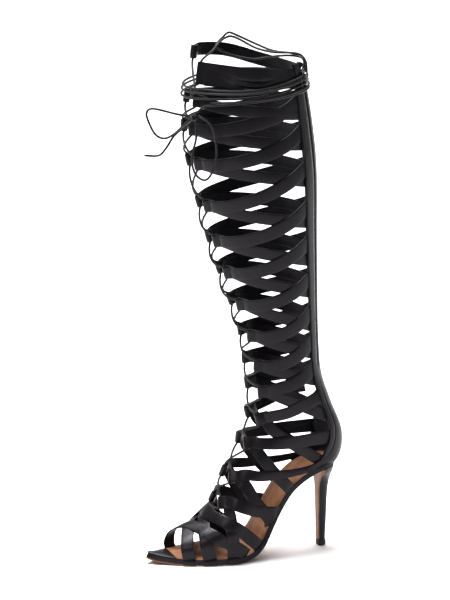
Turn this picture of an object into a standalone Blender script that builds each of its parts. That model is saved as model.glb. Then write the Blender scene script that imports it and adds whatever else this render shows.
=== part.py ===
"""A left knee-high lace-up stiletto sandal: sole, insole, heel, strap upper, zip and laces.

Metres, +Z up, toe towards -X, outer side towards -Y. The origin is the middle of the heel's ground face.
The foot and leg that the straps lie on are one smooth form. A place on it is a station, counted in rows
from the toe to the collar, and a turn in degrees: 0 is the back or sole side, 90 the outer side,
180 the front and 270 the inner side.
"""

from math import atan2, cos, hypot, pi, radians, sin

import bmesh
import bpy
from mathutils import Vector

# Driving sizes, in metres
LENGTH = 0.1912  # toe tip to the middle of the heel tip
BALL_WIDTH = 0.0715
HEEL_HEIGHT = 0.090
SHAFT_HEIGHT = 0.427  # heel seat to collar

OUTSOLE_THICKNESS = 0.002
BOARD_THICKNESS = 0.0042
SEAT_GAP = 0.0003
STRAP_THICKNESS = 0.0017
STRAP_LAYER = 0.0010  # how far the outer straps stand off the inner ones
SHIM = 0.00007
TAB_DEPTH = 0.0092
TAB_HEIGHT = 0.0120
LACE_DIAMETER = 0.0023
LACE_SIDES = 8

# Sole edge: row, x in % of LENGTH, underside z in % of HEEL_HEIGHT, outer and inner reach in % of BALL_WIDTH
SOLE_ROWS = (
    ("tip", -100.0, 7.3, 6.4, -5.0),
    ("tip corner", -99.4, 6.4, 9.2, -1.7),
    ("nose", -97.8, 5.1, 12.6, 2.0),
    ("point", -94.1, 3.2, 18.9, 9.2),
    ("big toe", -88.9, 1.7, 25.9, 18.9),
    ("toes", -82.6, 0.6, 35.0, 29.4),
    ("tread front", -75.8, 0.0, 42.7, 37.8),
    ("tread", -68.0, 0.0, 49.0, 43.4),
    ("ball", -59.1, 0.0, 53.1, 46.9),
    ("tread back", -51.3, 0.0, 52.4, 44.1),
    ("waist", -45.5, 2.4, 50.3, 40.6),
    ("low arch", -40.3, 8.7, 47.6, 37.1),
    ("arch", -35.8, 19.4, 44.1, 33.6),
    ("high arch", -31.4, 36.1, 40.6, 31.5),
    ("shank", -26.2, 55.6, 37.8, 30.1),
    ("high shank", -20.4, 72.8, 36.4, 30.8),
    ("seat front", -14.4, 83.6, 36.4, 32.9),
    ("seat", -7.8, 91.8, 37.1, 35.7),
    ("heel seat", -2.1, 96.0, 35.0, 35.0),
    ("heel back", 2.6, 98.4, 27.3, 27.3),
    ("heel corner", 5.2, 99.7, 17.5, 17.5),
    ("heel end", 6.5, 100.3, 5.6, 5.6),
)

# Form on the foot: row, low x and z, high x and z, middle y, outer and inner half width, wall.
# x in % of LENGTH, z in % of HEEL_HEIGHT, widths in % of BALL_WIDTH; wall 1 = upright sides, 0 = round
FOOT_ROWS = (
    ("tip", -99.4, 11.1, -99.6, 13.3, -6.3, 2.8, 2.8, 1.0),
    ("big toe", -89.4, 9.6, -88.9, 25.0, -3.5, 21.0, 19.6, 1.0),
    ("toes", -81.1, 8.4, -80.3, 33.1, -3.5, 32.9, 32.2, 1.0),
    ("tread", -71.1, 7.8, -70.6, 41.8, -2.8, 43.4, 42.0, 1.0),
    ("ball", -59.1, 7.8, -61.0, 58.7, -2.8, 48.3, 47.6, 1.0),
    ("waist", -49.7, 10.6, -56.3, 83.6, -2.8, 46.9, 43.4, 1.0),
    ("arch", -41.8, 18.3, -52.0, 104.4, -2.8, 42.7, 39.2, 1.0),
    ("shank", -33.5, 42.2, -47.9, 123.3, -2.8, 37.8, 34.3, 1.0),
    ("seat front", -23.5, 75.6, -45.0, 140.0, -2.1, 36.4, 34.3, 1.0),
    ("seat", -10.5, 96.1, -43.4, 155.6, -0.7, 34.8, 34.0, 0.95),
    ("heel", 4.3, 106.7, -42.6, 170.0, 0.0, 36.5, 36.5, 0.45),
)

# Form on the leg: row, back x and z, front x and z, half width, wall. z in % of SHAFT_HEIGHT above the seat
LEG_ROWS = (
    ("heel bulge", 8.9, 7.5, -43.0, 18.0, 39.0, 0.08),
    ("cuff", 2.7, 15.2, -43.3, 21.5, 40.5, 0.0),
    ("ankle", -3.0, 23.0, -43.3, 26.2, 40.5, 0.0),
    ("shin", -4.9, 33.3, -45.3, 35.1, 44.5, 0.0),
    ("low calf", -5.6, 45.0, -53.5, 45.9, 52.5, 0.0),
    ("calf", -6.2, 57.8, -62.5, 58.3, 62.0, 0.0),
    ("high calf", -6.7, 71.9, -70.5, 72.1, 69.0, 0.0),
    ("knee", -9.3, 83.6, -75.0, 83.8, 69.0, 0.0),
    ("collar", -15.7, 100.0, -69.8, 100.0, 66.5, 0.0),
    ("rim", -21.3, 116.4, -65.0, 116.4, 64.0, 0.0),
)

# Lace tabs, top to bottom: station, turn of the folded edge, station at the back stay of the strap that
# rises from the tab, and of the one that falls from it behind the next
TABS = (
    (18.43, 167, None, 18.22),
    (18.00, 170, 18.42, 17.68),
    (17.30, 169, 17.96, 16.92),
    (16.52, 170, 17.20, 16.22),
    (15.90, 170, 16.50, 15.52),
    (15.28, 168, 15.90, 14.88),
    (14.60, 164, 15.18, 14.16),
    (13.85, 159, 14.50, 13.52),
    (13.05, 150, 13.86, 12.78),
    (11.76, 144, 13.20, 11.50),
)

# Collar straps: side, height of the tab, widths at the front and back in mm, then station and turn
COLLAR_STRAPS = (
    (1, 22.0, 23.0, 19.0, ((18.81, 168), (18.80, 120), (18.765, 90), (18.74, 60), (18.75, 46))),
    (-1, 13.0, 14.0, 14.0, ((19.04, 162), (19.03, 130), (18.97, 95), (18.83, 60), (18.74, 25), (18.73, -7))),
)

# Foot straps on each side: layer, width at the front and back in mm, then station and turn along the strap
FOOT_STRAPS = (
    ("outer", 11.5, 14.0, ((9.70, 147), (11.1, 106), (11.9, 73), (12.2, 47))),
    ("outer", 11.5, 14.0, ((7.76, 155), (8.25, 130), (9.5, 92), (10.6, 46))),
    ("outer", 12.0, 5.0, ((5.70, 158), (6.6, 128), (7.55, 92), (8.7, 42), (9.6, 26))),
    ("outer", 12.0, 12.0, ((4.36, 161), (4.66, 145), (5.88, 95), (6.9, 52), (7.35, 5))),
    ("inner", 11.5, 11.5, ((9.70, 147), (9.57, 109), (9.62, 46))),
    ("inner", 11.5, 12.5, ((7.76, 155), (7.95, 110), (8.0, 70), (8.1, 5))),
    ("inner", 12.0, 13.5, ((5.70, 158), (6.25, 123), (6.55, 85), (6.95, 34), (6.95, 5))),
)

# Woven toe straps: layer, widths in mm, then station and turn from one side of the sole to the other
TOE_STRAPS = (
    ("outer", 14.5, 12.5, ((1.85, 355), (1.85, 300), (2.05, 240), (2.55, 190), (2.92, 147), (3.27, 117),
                           (3.71, 89), (4.35, 59), (5.05, 5))),
    ("outer", 13.5, 13.0, ((3.0, 355), (3.2, 280), (3.6, 230), (3.76, 203), (3.62, 166), (3.96, 130),
                           (4.65, 92), (5.16, 68), (5.65, 44), (6.0, 5))),
    ("inner", 13.0, 13.0, ((2.15, 5), (2.04, 91), (2.25, 155), (2.7, 200), (3.4, 250), (4.3, 290),
                           (5.2, 355))),
    ("inner", 14.0, 12.5, ((3.16, 5), (2.99, 98), (3.2, 160), (3.55, 200), (4.1, 240), (4.9, 290),
                           (5.9, 355))),
    ("inner", 13.5, 12.0, ((4.27, 5), (4.28, 42), (4.32, 80), (4.45, 112), (4.72, 145))),
    ("inner", 12.0, 12.0, ((4.0, 355), (4.1, 310), (4.4, 270), (4.65, 210))),
)

# Heel sections: height, front x, back x, half width, in mm
HEEL_ROWS = (
    (7.0, -3.5, 4.6, 4.7),
    (30.0, -3.8, 5.6, 5.1),
    (56.0, -4.3, 6.6, 6.2),
    (68.0, -4.5, 7.9, 8.4),
    (76.0, -4.8, 9.4, 13.0),
    (82.0, -5.2, 10.9, 19.0),
)

COUNTER_TURN = 50  # the counter covers this angle on both sides of the back
STAY_INNER_TURN = 3  # above it the zip's stay is outside of the middle of the back
ZIP_TURN = 34
ZIP_LOW = 13.2
ZIP_HIGH = 18.86
ROOT_OVERLAP = 3  # degrees that a strap runs on under its tab
TAB_LEAN = 40  # degrees that a lace tab of the foot leans with its strap
LEAN_FROM = 13.3  # the lean starts below this station
LEAN_OVER = 3.6  # and is full this many stations lower
LEAN_TOE = 4.4  # the last tab, at this station, stands straight again
ZIP_STATIONS = (ZIP_LOW, 14, 15, 16, 17, 18, ZIP_HIGH)
SLIDER_STATION = 18.80
PULL_HINGE = (-0.0026, 0.0074)  # along the zip from the middle of the slider, and off the form

# Lace knot, its way to the turns round the shaft, and the free runs, in metres
KNOT = (-0.1490, -0.0345, 0.4640)
KNOT_TO_WRAPS = ((-0.1470, -0.0318, 0.4671), (-0.1430, -0.0305, 0.4688))
CORDS = {
    "lace_bow_loop_back": (
        (-0.1449, -0.0361, 0.4659), (-0.1345, -0.0435, 0.4575), (-0.1298, -0.0448, 0.4420),
        (-0.1292, -0.0452, 0.4250), (-0.1342, -0.0440, 0.4075), (-0.1405, -0.0420, 0.4018),
        (-0.1480, -0.0385, 0.4070), (-0.1515, -0.0370, 0.4180), (-0.1508, -0.0375, 0.4300),
        (-0.1478, -0.0388, 0.4440), (-0.1475, -0.0370, 0.4606),
    ),
    "lace_bow_loop_front": (
        (-0.1530, -0.0345, 0.4653), (-0.1660, -0.0340, 0.4680), (-0.1845, -0.0330, 0.4735),
        (-0.1930, -0.0320, 0.4745), (-0.1965, -0.0310, 0.4700), (-0.1940, -0.0300, 0.4615),
        (-0.1875, -0.0295, 0.4490), (-0.1790, -0.0300, 0.4440), (-0.1690, -0.0315, 0.4475),
        (-0.1526, -0.0336, 0.4618),
    ),
    "lace_free_end": (
        (-0.1512, -0.0372, 0.4609), (-0.1615, -0.0385, 0.4545), (-0.1710, -0.0385, 0.4470),
        (-0.1785, -0.0375, 0.4355), (-0.1860, -0.0365, 0.4285), (-0.2005, -0.0355, 0.4292),
    ),
    "lace_slack": (
        (-0.0285, -0.0262, 0.4951), (-0.0297, -0.0264, 0.5045), (-0.0318, -0.0236, 0.5148),
        (-0.0400, -0.0062, 0.5150), (-0.0508, 0.0160, 0.5106), (-0.0640, 0.0265, 0.5074),
        (-0.0813, 0.0310, 0.5104), (-0.0940, 0.0335, 0.5152), (-0.1012, 0.0362, 0.5205),
        (-0.0985, 0.0392, 0.5245), (-0.0930, 0.0402, 0.5292), (-0.0870, 0.0400, 0.5336),
        (-0.0790, 0.0370, 0.5308), (-0.0630, 0.0280, 0.5230), (-0.0485, 0.0150, 0.5170),
        (-0.0360, -0.0030, 0.5168), (-0.0276, -0.0140, 0.5142), (-0.0248, -0.0158, 0.5045),
        (-0.0236, -0.0155, 0.4950),
    ),
    "lace_collar_run": (
        (-0.1335, -0.0129, 0.5158), (-0.1277, -0.0080, 0.5190), (-0.1181, 0.0060, 0.5198),
        (-0.1072, 0.0220, 0.5222), (-0.0987, 0.0335, 0.5256), (-0.0915, 0.0370, 0.5288),
        (-0.0853, 0.0372, 0.5300), (-0.0777, 0.0338, 0.5272), (-0.0650, 0.0235, 0.5198),
        (-0.0535, 0.0095, 0.5170), (-0.0460, -0.0035, 0.5178), (-0.0385, -0.0120, 0.5186),
        (-0.0315, -0.0178, 0.5172), (-0.0270, -0.0202, 0.5112), (-0.0258, -0.0208, 0.5030),
        (-0.0260, -0.0210, 0.4955),
    ),
}


def spline(points, t):
    """A point on the smooth curve through a list of tuples, t counted in points."""
    last = len(points) - 1
    t = min(max(t, 0.0), float(last))
    low = min(int(t), last - 1)
    f = t - low
    b, c = points[low], points[low + 1]
    a = points[low - 1] if low > 0 else [2 * p - q for p, q in zip(b, c)]
    d = points[low + 2] if low + 2 <= last else [2 * q - p for p, q in zip(b, c)]
    return [
        q + 0.5 * f * (r - p + f * (2 * p - 5 * q + 4 * r - s + f * (3 * (q - r) + s - p)))
        for p, q, r, s in zip(a, b, c, d)
    ]


def form_rows():
    """Every row of the form in metres: back x, z, front x, z, middle y, half widths, wall."""
    rows = []
    for _, bx, bz, fx, fz, mid, outer, inner, wall in FOOT_ROWS:
        rows.append([
            bx * LENGTH / 100, bz * HEEL_HEIGHT / 100, fx * LENGTH / 100, fz * HEEL_HEIGHT / 100,
            mid * BALL_WIDTH / 100, outer * BALL_WIDTH / 100, inner * BALL_WIDTH / 100, wall,
        ])
    for _, bx, bz, fx, fz, half, wall in LEG_ROWS:
        width = half * BALL_WIDTH / 100
        back, front = (HEEL_HEIGHT + z * SHAFT_HEIGHT / 100 for z in (bz, fz))
        rows.append([bx * LENGTH / 100, back, fx * LENGTH / 100, front, 0.0, width, width, wall])
    return rows


FORM = form_rows()


def on_form(station, turn):
    """The point of the form at a station and a turn."""
    back_x, back_z, front_x, front_z, mid, outer, inner, wall = spline(FORM, station)
    angle = radians(turn)
    side = sin(angle)
    reach = abs(side)
    if cos(angle) > 0:
        reach = wall + (1 - wall) * reach
    y = mid - (outer if side > 0 else -inner) * reach
    share = (1 - cos(angle)) / 2
    return Vector((back_x + (front_x - back_x) * share, y, back_z + (front_z - back_z) * share))


def outward(station, turn):
    """The form's outward normal."""
    along = on_form(station + 0.02, turn) - on_form(station - 0.02, turn)
    around = on_form(station, turn + 1) - on_form(station, turn - 1)
    return along.cross(around).normalized()


def along_form(points, steps):
    """Evenly spaced frames of a smooth line through stations and turns: point, normal and side."""
    knots = [(*on_form(*p), *outward(*p)) for p in points]
    fine = [spline(knots, k / 12) for k in range(12 * (len(points) - 1) + 1)]
    lengths = [0.0]
    for near, far in zip(fine, fine[1:]):
        lengths.append(lengths[-1] + hypot(*(q - p for p, q in zip(near[:3], far[:3]))))
    frames = []
    low = 0
    for k in range(steps + 1):
        goal = lengths[-1] * k / steps
        while low < len(fine) - 2 and lengths[low + 1] < goal:
            low += 1
        share = (goal - lengths[low]) / (lengths[low + 1] - lengths[low])
        place = Vector(fine[low][:3]).lerp(Vector(fine[low + 1][:3]), share)
        normal = Vector(fine[low][3:]).lerp(Vector(fine[low + 1][3:]), share)
        before, after = fine[max(low - 4, 0)], fine[min(low + 5, len(fine) - 1)]
        direction = (Vector(after[:3]) - Vector(before[:3])).normalized()
        normal = (normal - direction * normal.dot(direction)).normalized()
        frames.append((place, normal, normal.cross(direction)))
    return frames


def loft(name, rings, closed=False):
    """A closed solid through rings of equal length."""
    bm = bmesh.new()
    rows = [[bm.verts.new(p) for p in ring] for ring in rings]
    count = len(rows[0])
    pairs = list(zip(rows, rows[1:]))
    if closed:
        pairs.append((rows[-1], rows[0]))
    for low, high in pairs:
        for k in range(count):
            bm.faces.new((low[k], low[(k + 1) % count], high[(k + 1) % count], high[k]))
    if not closed:
        bm.faces.new(rows[0][::-1])
        bm.faces.new(rows[-1])
    bmesh.ops.recalc_face_normals(bm, faces=bm.faces)
    mesh = bpy.data.meshes.new(name)
    bm.to_mesh(mesh)
    bm.free()
    return bpy.data.objects.new(name, mesh)


def strap(name, points, widths, layer, steps, shim=0):
    """A flat strap along stations and turns, on the inner or the outer layer of the form.

    A shim lifts it a little more, so that no two straps have faces in one plane.
    """
    lift = (STRAP_LAYER if layer == "outer" else 0.0) + shim * SHIM
    rings = []
    for k, (point, normal, side) in enumerate(along_form(points, steps)):
        half = (widths[0] + (widths[1] - widths[0]) * k / steps) / 2000
        low, high = normal * lift, normal * (lift + STRAP_THICKNESS)
        rings.append([point + low - side * half, point + low + side * half,
                      point + high + side * half, point + high - side * half])
    return loft(name, rings)


def mirrored(points):
    """The same path on the inner side."""
    return [(station, 360 - turn) for station, turn in points]


def tab_root(station, turn):
    """The station and turn at which a lace tab leaves its straps; on the foot it leans with them."""
    share = min(max((LEAN_FROM - station) / LEAN_OVER, 0.0), max(station - LEAN_TOE, 0.0), 1.0)
    lean = radians(TAB_LEAN) * share
    arc = (on_form(station, turn) - on_form(station, turn - 1)).length
    run = (on_form(station + 0.1, turn) - on_form(station, turn)).length / 0.1
    return station + TAB_DEPTH * sin(lean) / run, turn - TAB_DEPTH * cos(lean) / arc


def strap_start(station, turn):
    """Where a strap starts under its lace tab."""
    root = tab_root(station, turn)
    return root[0], root[1] + ROOT_OVERLAP


def tab_frame(station, turn, side):
    """Origin, forward, outward and upward axes of a lace tab; side is 1 outside, -1 inside."""
    root_station, root_turn = tab_root(station, turn)
    around = (lambda t: t) if side > 0 else (lambda t: 360 - t)
    origin = on_form(root_station, around(root_turn))
    forward = (on_form(station, around(turn)) - origin).normalized()
    normal = outward(root_station, around(root_turn))
    normal = (normal - forward * normal.dot(forward)).normalized()
    up = forward.cross(normal) * side
    return origin, forward, normal, up


def lace_tab(name, station, turn, side, height=TAB_HEIGHT):
    """A strap end folded round the lace: a loop with an open tunnel."""
    origin, forward, normal, up = tab_frame(station, turn, side)
    nose = TAB_DEPTH - 0.0030
    outer = [(-0.005, -0.0009), (-0.005, 0.0018)]
    outer += [(nose + 0.0030 * sin(radians(a)), 0.0018 + 0.0030 * cos(radians(a))) for a in (0, 60, 120, 180)]
    inner = [(nose + 0.0018 * sin(radians(a)), 0.0018 + 0.0018 * cos(radians(a))) for a in range(0, 360, 45)]
    half = height / 2

    def ring(profile, level):
        return [origin + forward * a + normal * b + up * level for a, b in profile]

    body = loft(name, [ring(outer, -half), ring(outer, half)])
    bore = loft(name + "_bore", [ring(inner, -half - 0.0050), ring(inner, half + 0.0050)])
    return body, bore


def stay_edge(station):
    """The turn of the back stay's inner edge, which swings round above the counter."""
    share = min(max((station - 11.5) / 1.5, 0.0), 1.0)
    share = share * share * (3 - 2 * share)
    return -COUNTER_TURN + (COUNTER_TURN + STAY_INNER_TURN) * share


def stay_ring(station):
    """Section of the back stay and counter, with the zip's groove on the outer side."""
    edge = stay_edge(station)
    plain = [edge + (28 - edge) * k / 6 for k in range(7)]
    turns = plain + [29.5, 31, 37, 38.5, 44, COUNTER_TURN]
    grooved = ZIP_LOW <= station <= ZIP_HIGH
    outer, inner = [], []
    for turn in turns:
        place, normal = on_form(station, turn % 360), outward(station, turn % 360)
        rise = 0.0017 if grooved and turn in (31, 37) else 0.0032
        outer.append(place + normal * rise)
        inner.append(place + normal * 0.0006)
    return outer + inner[::-1]


def sole_frames():
    """Middle, upward normal and reaches of each row of the sole's underside, with rows added between."""
    rows = [
        [x * LENGTH / 100, z * HEEL_HEIGHT / 100, outer * BALL_WIDTH / 100, inner * BALL_WIDTH / 100]
        for _, x, z, outer, inner in SOLE_ROWS
    ]
    fine = [spline(rows, k / 2) for k in range(2 * len(rows) - 1)]
    for row in fine:
        row[1] = max(row[1], 0.0)
    frames = []
    for k, row in enumerate(fine):
        before, after = fine[max(k - 1, 0)], fine[min(k + 1, len(fine) - 1)]
        lean = atan2(after[1] - before[1], after[0] - before[0])
        frames.append((Vector((row[0], 0, row[1])), Vector((-sin(lean), 0, cos(lean))), row[2], row[3]))
    return frames


def sole_layer(name, low, high, margin=0.0):
    """A slab that follows the sole, from one height above its underside to another."""
    rings = []
    for middle, normal, outer, inner in sole_frames():
        right, left = Vector((0, -outer - margin, 0)), Vector((0, inner + margin, 0))
        under, over = middle + normal * low, middle + normal * high
        rings.append([under + right, under + left, over + left, over + right])
    if margin:
        end = [p + Vector((0.012, 0, 0.002)) for p in rings[-1]]
        rings.append(end)
    return loft(name, rings)


def heel_ring(z, front, back, half, steps=10):
    """A section of the heel: a flat front and a round back."""
    angles = [pi * (k / steps - 0.5) for k in range(steps + 1)]
    ring = [Vector((front + (back - front) * cos(a), half * sin(a), z)) for a in angles]
    return ring


def build_heel():
    """The heel block, up to the outsole that it carries."""
    rings = [heel_ring(z / 1000, a / 1000, b / 1000, w / 1000) for z, a, b, w in HEEL_ROWS]
    frames = sole_frames()
    top = heel_ring(0.0, -0.0058, 0.0116, 0.0238)
    for point in top:
        near = [f for f in frames if f[0].x > -0.03]
        for low, high in zip(near, near[1:]):
            if low[0].x <= point.x <= high[0].x:
                share = (point.x - low[0].x) / (high[0].x - low[0].x)
                point.z = low[0].z + (high[0].z - low[0].z) * share - SEAT_GAP
    rings.append(top)
    return loft("heel", rings)


def build_breast_strip():
    """The tan leather that runs on from the outsole down the heel's front face."""
    rings = []
    for z, front, _, half in HEEL_ROWS[:-1]:
        face = front / 1000 - SEAT_GAP
        wide = half * 0.00088
        low = (z + (0.3 if z < 8 else 0)) / 1000
        rings.append([Vector((face, -wide, low)), Vector((face, wide, low)),
                      Vector((face - 0.0010, wide, low)), Vector((face - 0.0010, -wide, low))])
    return loft("heel_breast_strip", rings)


def build_upper_parts():
    """The bodies that are joined into the upper, and those that are cut from it."""
    parts, cuts = [], []
    for side, name in ((1, "outer"), (-1, "inner")):
        way = (lambda p: list(p)) if side > 0 else mirrored
        for k, (station, turn, rise, fall) in enumerate(TABS):
            first, start = strap_start(station, turn)
            ends = [46 if side > 0 else -stay_edge(s) - 4 for s in (rise or fall, fall)]
            if rise:
                power = min(0.85 + 0.41 * (station - TABS[-1][0]), 1.7)
                path = [
                    (first + (rise - first) * (j / 6) ** power, start + (ends[0] - start) * j / 6)
                    for j in range(7)
                ]
                parts.append(strap(f"{name}_rise_{k}", way(path), (12.5, 15.5), "outer", 8))
            path = [(first + (fall - first) * j / 4, start + (ends[1] - start) * j / 4) for j in range(5)]
            parts.append(strap(f"{name}_fall_{k}", way(path), (11.4, 12.5), "inner", 6))
            body, bore = lace_tab(f"{name}_tab_{k}", station, turn, side)
            parts.append(body)
            cuts.append(bore)
        for k, (layer, front, back, points) in enumerate(FOOT_STRAPS):
            path = (strap_start(*points[0]),) + points[1:]
            parts.append(strap(f"{name}_foot_{k}", way(path), (front, back), layer, 8, k))
            if layer == "outer":
                body, bore = lace_tab(f"{name}_foot_tab_{k}", points[0][0], points[0][1], side)
                parts.append(body)
                cuts.append(bore)
    for side, height, front, back, points in COLLAR_STRAPS:
        band = (strap_start(*points[0]),) + points[1:]
        if side < 0:
            band = mirrored(band)
        parts.append(strap(f"collar_{side}", band, (front, back), "outer", 10))
        body, bore = lace_tab(f"collar_tab_{side}", *points[0], side, height / 1000)
        parts.append(body)
        cuts.append(bore)
    for k, (layer, front, back, points) in enumerate(TOE_STRAPS):
        parts.append(strap(f"toe_{k}", points, (front, back), layer, 3 * (len(points) - 1), k))
    stations = [8.9, 9.3, 9.7, 10, 10.3, 10.65, 11, 11.5, 12, 12.6, 13.1]
    stations += [*ZIP_STATIONS, ZIP_HIGH + 0.02, ZIP_HIGH + 0.06]
    parts.append(loft("stay", [stay_ring(s) for s in stations]))
    under = OUTSOLE_THICKNESS + SEAT_GAP
    cuts.append(sole_layer("board_clearance", under - 0.006, under + BOARD_THICKNESS + SEAT_GAP, 0.008))
    return parts, cuts


def tab_places(side):
    """Station, turn of the folded edge and height of a side's lace tabs, from the collar to the toes."""
    places = [(*points[0], height / 1000) for at, height, _, _, points in COLLAR_STRAPS if at == side]
    places += [(station, turn, TAB_HEIGHT) for station, turn, _, _ in TABS]
    return places + [(*points[0], TAB_HEIGHT) for layer, _, _, points in FOOT_STRAPS if layer == "outer"]


def tunnel_mouth(station, turn, height, side, end):
    """The middle of a tab's tunnel mouth, the way out and the tab's normal; end is 1 for the upper mouth."""
    origin, forward, normal, up = tab_frame(station, turn, side)
    middle = origin + forward * (TAB_DEPTH - 0.0030) + normal * 0.0018
    return middle + up * end * (height / 2 + SEAT_GAP), up * end, normal


def cord(name, points, sides=LACE_SIDES):
    """A round lace with flat ends through a list of points."""
    curve = bpy.data.curves.new(name, "CURVE")
    curve.dimensions = "3D"
    curve.bevel_depth = LACE_DIAMETER / 2
    curve.bevel_resolution = sides // 2 - 2
    curve.use_fill_caps = True
    line = curve.splines.new("POLY")
    line.points.add(len(points) - 1)
    for target, place in zip(line.points, points):
        target.co = (*place, 1.0)
    return bpy.data.objects.new(name, curve)


def lace_leg(start, end, run_out=0.3, bow=0.0012):
    """Points of a lace from one tunnel mouth to another, bowed away from the form."""
    (a, out_a, normal_a), (b, out_b, normal_b) = start, end
    reach = (b - a).length * run_out
    points = []
    for k in range(8):
        t = k / 7
        near, far = a.lerp(a + out_a * reach, t), (b + out_b * reach).lerp(b, t)
        lift = (normal_a + normal_b) * bow * sin(pi * t)
        points.append(near.lerp(far, t * t * (3 - 2 * t)) + lift)
    return points


def build_crossings(cutters):
    """A lace cross between each two tabs, and the bar that starts the lacing at the toes."""
    outer, inner = tab_places(1), tab_places(-1)
    solids = []
    for k in range(len(outer) - 1):
        legs = (
            lace_leg(tunnel_mouth(*outer[k], 1, -1), tunnel_mouth(*inner[k + 1], -1, 1)),
            lace_leg(tunnel_mouth(*inner[k], -1, -1), tunnel_mouth(*outer[k + 1], 1, 1)),
        )
        halves = [as_mesh(cord(f"lace_leg_{k}_{j}", leg, 6)) for j, leg in enumerate(legs)]
        solids.append(join_and_cut(f"lace_crossing_{k:02d}", halves, [], cutters))
    ends = [tunnel_mouth(*places[-1], side, -1) for places, side in ((outer, 1), (inner, -1))]
    solids.append(cord("lace_toe_bar", lace_leg(*ends, 0.22, 0.002), 6))
    return solids


def build_wraps():
    """The lace's turns round the top of the shaft, as one helix that rises to the back."""
    points = [Vector(place) for place in KNOT_TO_WRAPS]
    for k in range(61):
        turned = 15 * k
        turn = 146 - turned
        share = (1 - cos(radians(turn))) / 2
        station = 18.30 + 0.16 * (1 - share ** 3) + 0.085 * turned / 360
        lift = 0.0053 + 0.0024 * share ** 4
        points.append(on_form(station, turn % 360) + outward(station, turn % 360) * lift)
    return cord("lace_wraps", points, 6)


def build_knot():
    """The knot in the lace, a plain round body."""
    mesh = bpy.data.meshes.new("lace_knot")
    bm = bmesh.new()
    bmesh.ops.create_icosphere(bm, subdivisions=2, radius=0.0038)
    bmesh.ops.translate(bm, verts=bm.verts, vec=KNOT)
    bm.to_mesh(mesh)
    bm.free()
    return bpy.data.objects.new("lace_knot", mesh)


def zip_axes(station):
    """Place and axes of the zip at a station: point, outward, upward and around."""
    place, normal = on_form(station, ZIP_TURN), outward(station, ZIP_TURN)
    up = (on_form(station, ZIP_TURN) - on_form(station - 0.05, ZIP_TURN)).normalized()
    normal = (normal - up * normal.dot(up)).normalized()
    return place, normal, up, up.cross(normal)


def zip_plate(name, low, high, rise, thickness, widths, hinge=(0.0, 0.0)):
    """A flat plate at the slider, between two heights along the zip; its origin is at the hinge."""
    place, normal, up, around = zip_axes(SLIDER_STATION)
    rings = []
    for height, width in zip((low, high), widths):
        corners = ((rise, -0.5), (rise, 0.5), (rise + thickness, 0.5), (rise + thickness, -0.5))
        rings.append([
            up * (height - hinge[0]) + normal * (r - hinge[1]) + around * (a * width)
            for r, a in corners
        ])
    plate = loft(name, rings)
    plate.location = place + up * hinge[0] + normal * hinge[1]
    return plate


def build_teeth():
    """The closed zip's teeth, as one strip in the stay's groove."""
    rings = []
    for station in (ZIP_LOW + 0.02, *ZIP_STATIONS[1:-1], ZIP_HIGH - 0.02):
        ring = []
        for turn, rise in ((-1.7, 0.0020), (1.7, 0.0020), (1.7, 0.0031), (-1.7, 0.0031)):
            ring.append(on_form(station, ZIP_TURN + turn) + outward(station, ZIP_TURN) * rise)
        rings.append(ring)
    return loft("zip_teeth", rings)


def material(name, colour, roughness, metallic=0.0):
    """A Principled material."""
    made = bpy.data.materials.new(name)
    made.use_nodes = True
    shader = made.node_tree.nodes["Principled BSDF"]
    shader.inputs["Base Color"].default_value = (*colour, 1.0)
    shader.inputs["Roughness"].default_value = roughness
    shader.inputs["Metallic"].default_value = metallic
    return made


def clear_scene():
    """Remove every object that the file starts with."""
    for thing in list(bpy.data.objects):
        bpy.data.objects.remove(thing, do_unlink=True)


def collection(name):
    """A new collection in the scene."""
    made = bpy.data.collections.new(name)
    bpy.context.scene.collection.children.link(made)
    return made


def join_and_cut(name, parts, cuts, cutters):
    """One solid out of many, with the cuts taken away."""
    base = parts[0]
    base.name = name
    base.data.name = name
    joined = bpy.data.collections.new(name + "_joined")
    taken = bpy.data.collections.new(name + "_cuts")
    for group, members in ((joined, parts[1:]), (taken, cuts)):
        cutters.children.link(group)
        for thing in members:
            group.objects.link(thing)
            thing.hide_render = True
            thing.display_type = "WIRE"
    for operation, group in (("UNION", joined), ("DIFFERENCE", taken)):
        if group.objects:
            modifier = base.modifiers.new(operation.lower(), "BOOLEAN")
            modifier.operation = operation
            modifier.operand_type = "COLLECTION"
            modifier.collection = group
            modifier.solver = "MANIFOLD"
    return base


def as_mesh(curve):
    """A curve as a closed mesh object."""
    bpy.context.scene.collection.objects.link(curve)
    bpy.context.view_layer.update()
    solid = curve.evaluated_get(bpy.context.evaluated_depsgraph_get())
    mesh = bpy.data.meshes.new_from_object(solid)
    bm = bmesh.new()
    bm.from_mesh(mesh)
    bmesh.ops.remove_doubles(bm, verts=bm.verts, dist=0.00001)
    bm.to_mesh(mesh)
    bm.free()
    name = curve.name
    bpy.data.objects.remove(curve)
    return bpy.data.objects.new(name, mesh)


def apply_booleans(thing):
    """Settle a solid's Booleans, and drop the paper-thin slivers that they leave apart from it."""
    bpy.context.view_layer.update()
    solid = thing.evaluated_get(bpy.context.evaluated_depsgraph_get())
    bm = bmesh.new()
    bm.from_mesh(bpy.data.meshes.new_from_object(solid))
    left = set(bm.verts)
    bodies = []
    while left:
        body, edge = set(), [left.pop()]
        while edge:
            vert = edge.pop()
            body.add(vert)
            near = {e.other_vert(vert) for e in vert.link_edges} & left
            left -= near
            edge.extend(near)
        bodies.append(body)
    bodies.sort(key=len)
    loose = [vert for body in bodies[:-1] for vert in body]
    bmesh.ops.delete(bm, geom=loose, context="VERTS")
    thing.modifiers.clear()
    bm.to_mesh(thing.data)
    bm.free()


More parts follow.
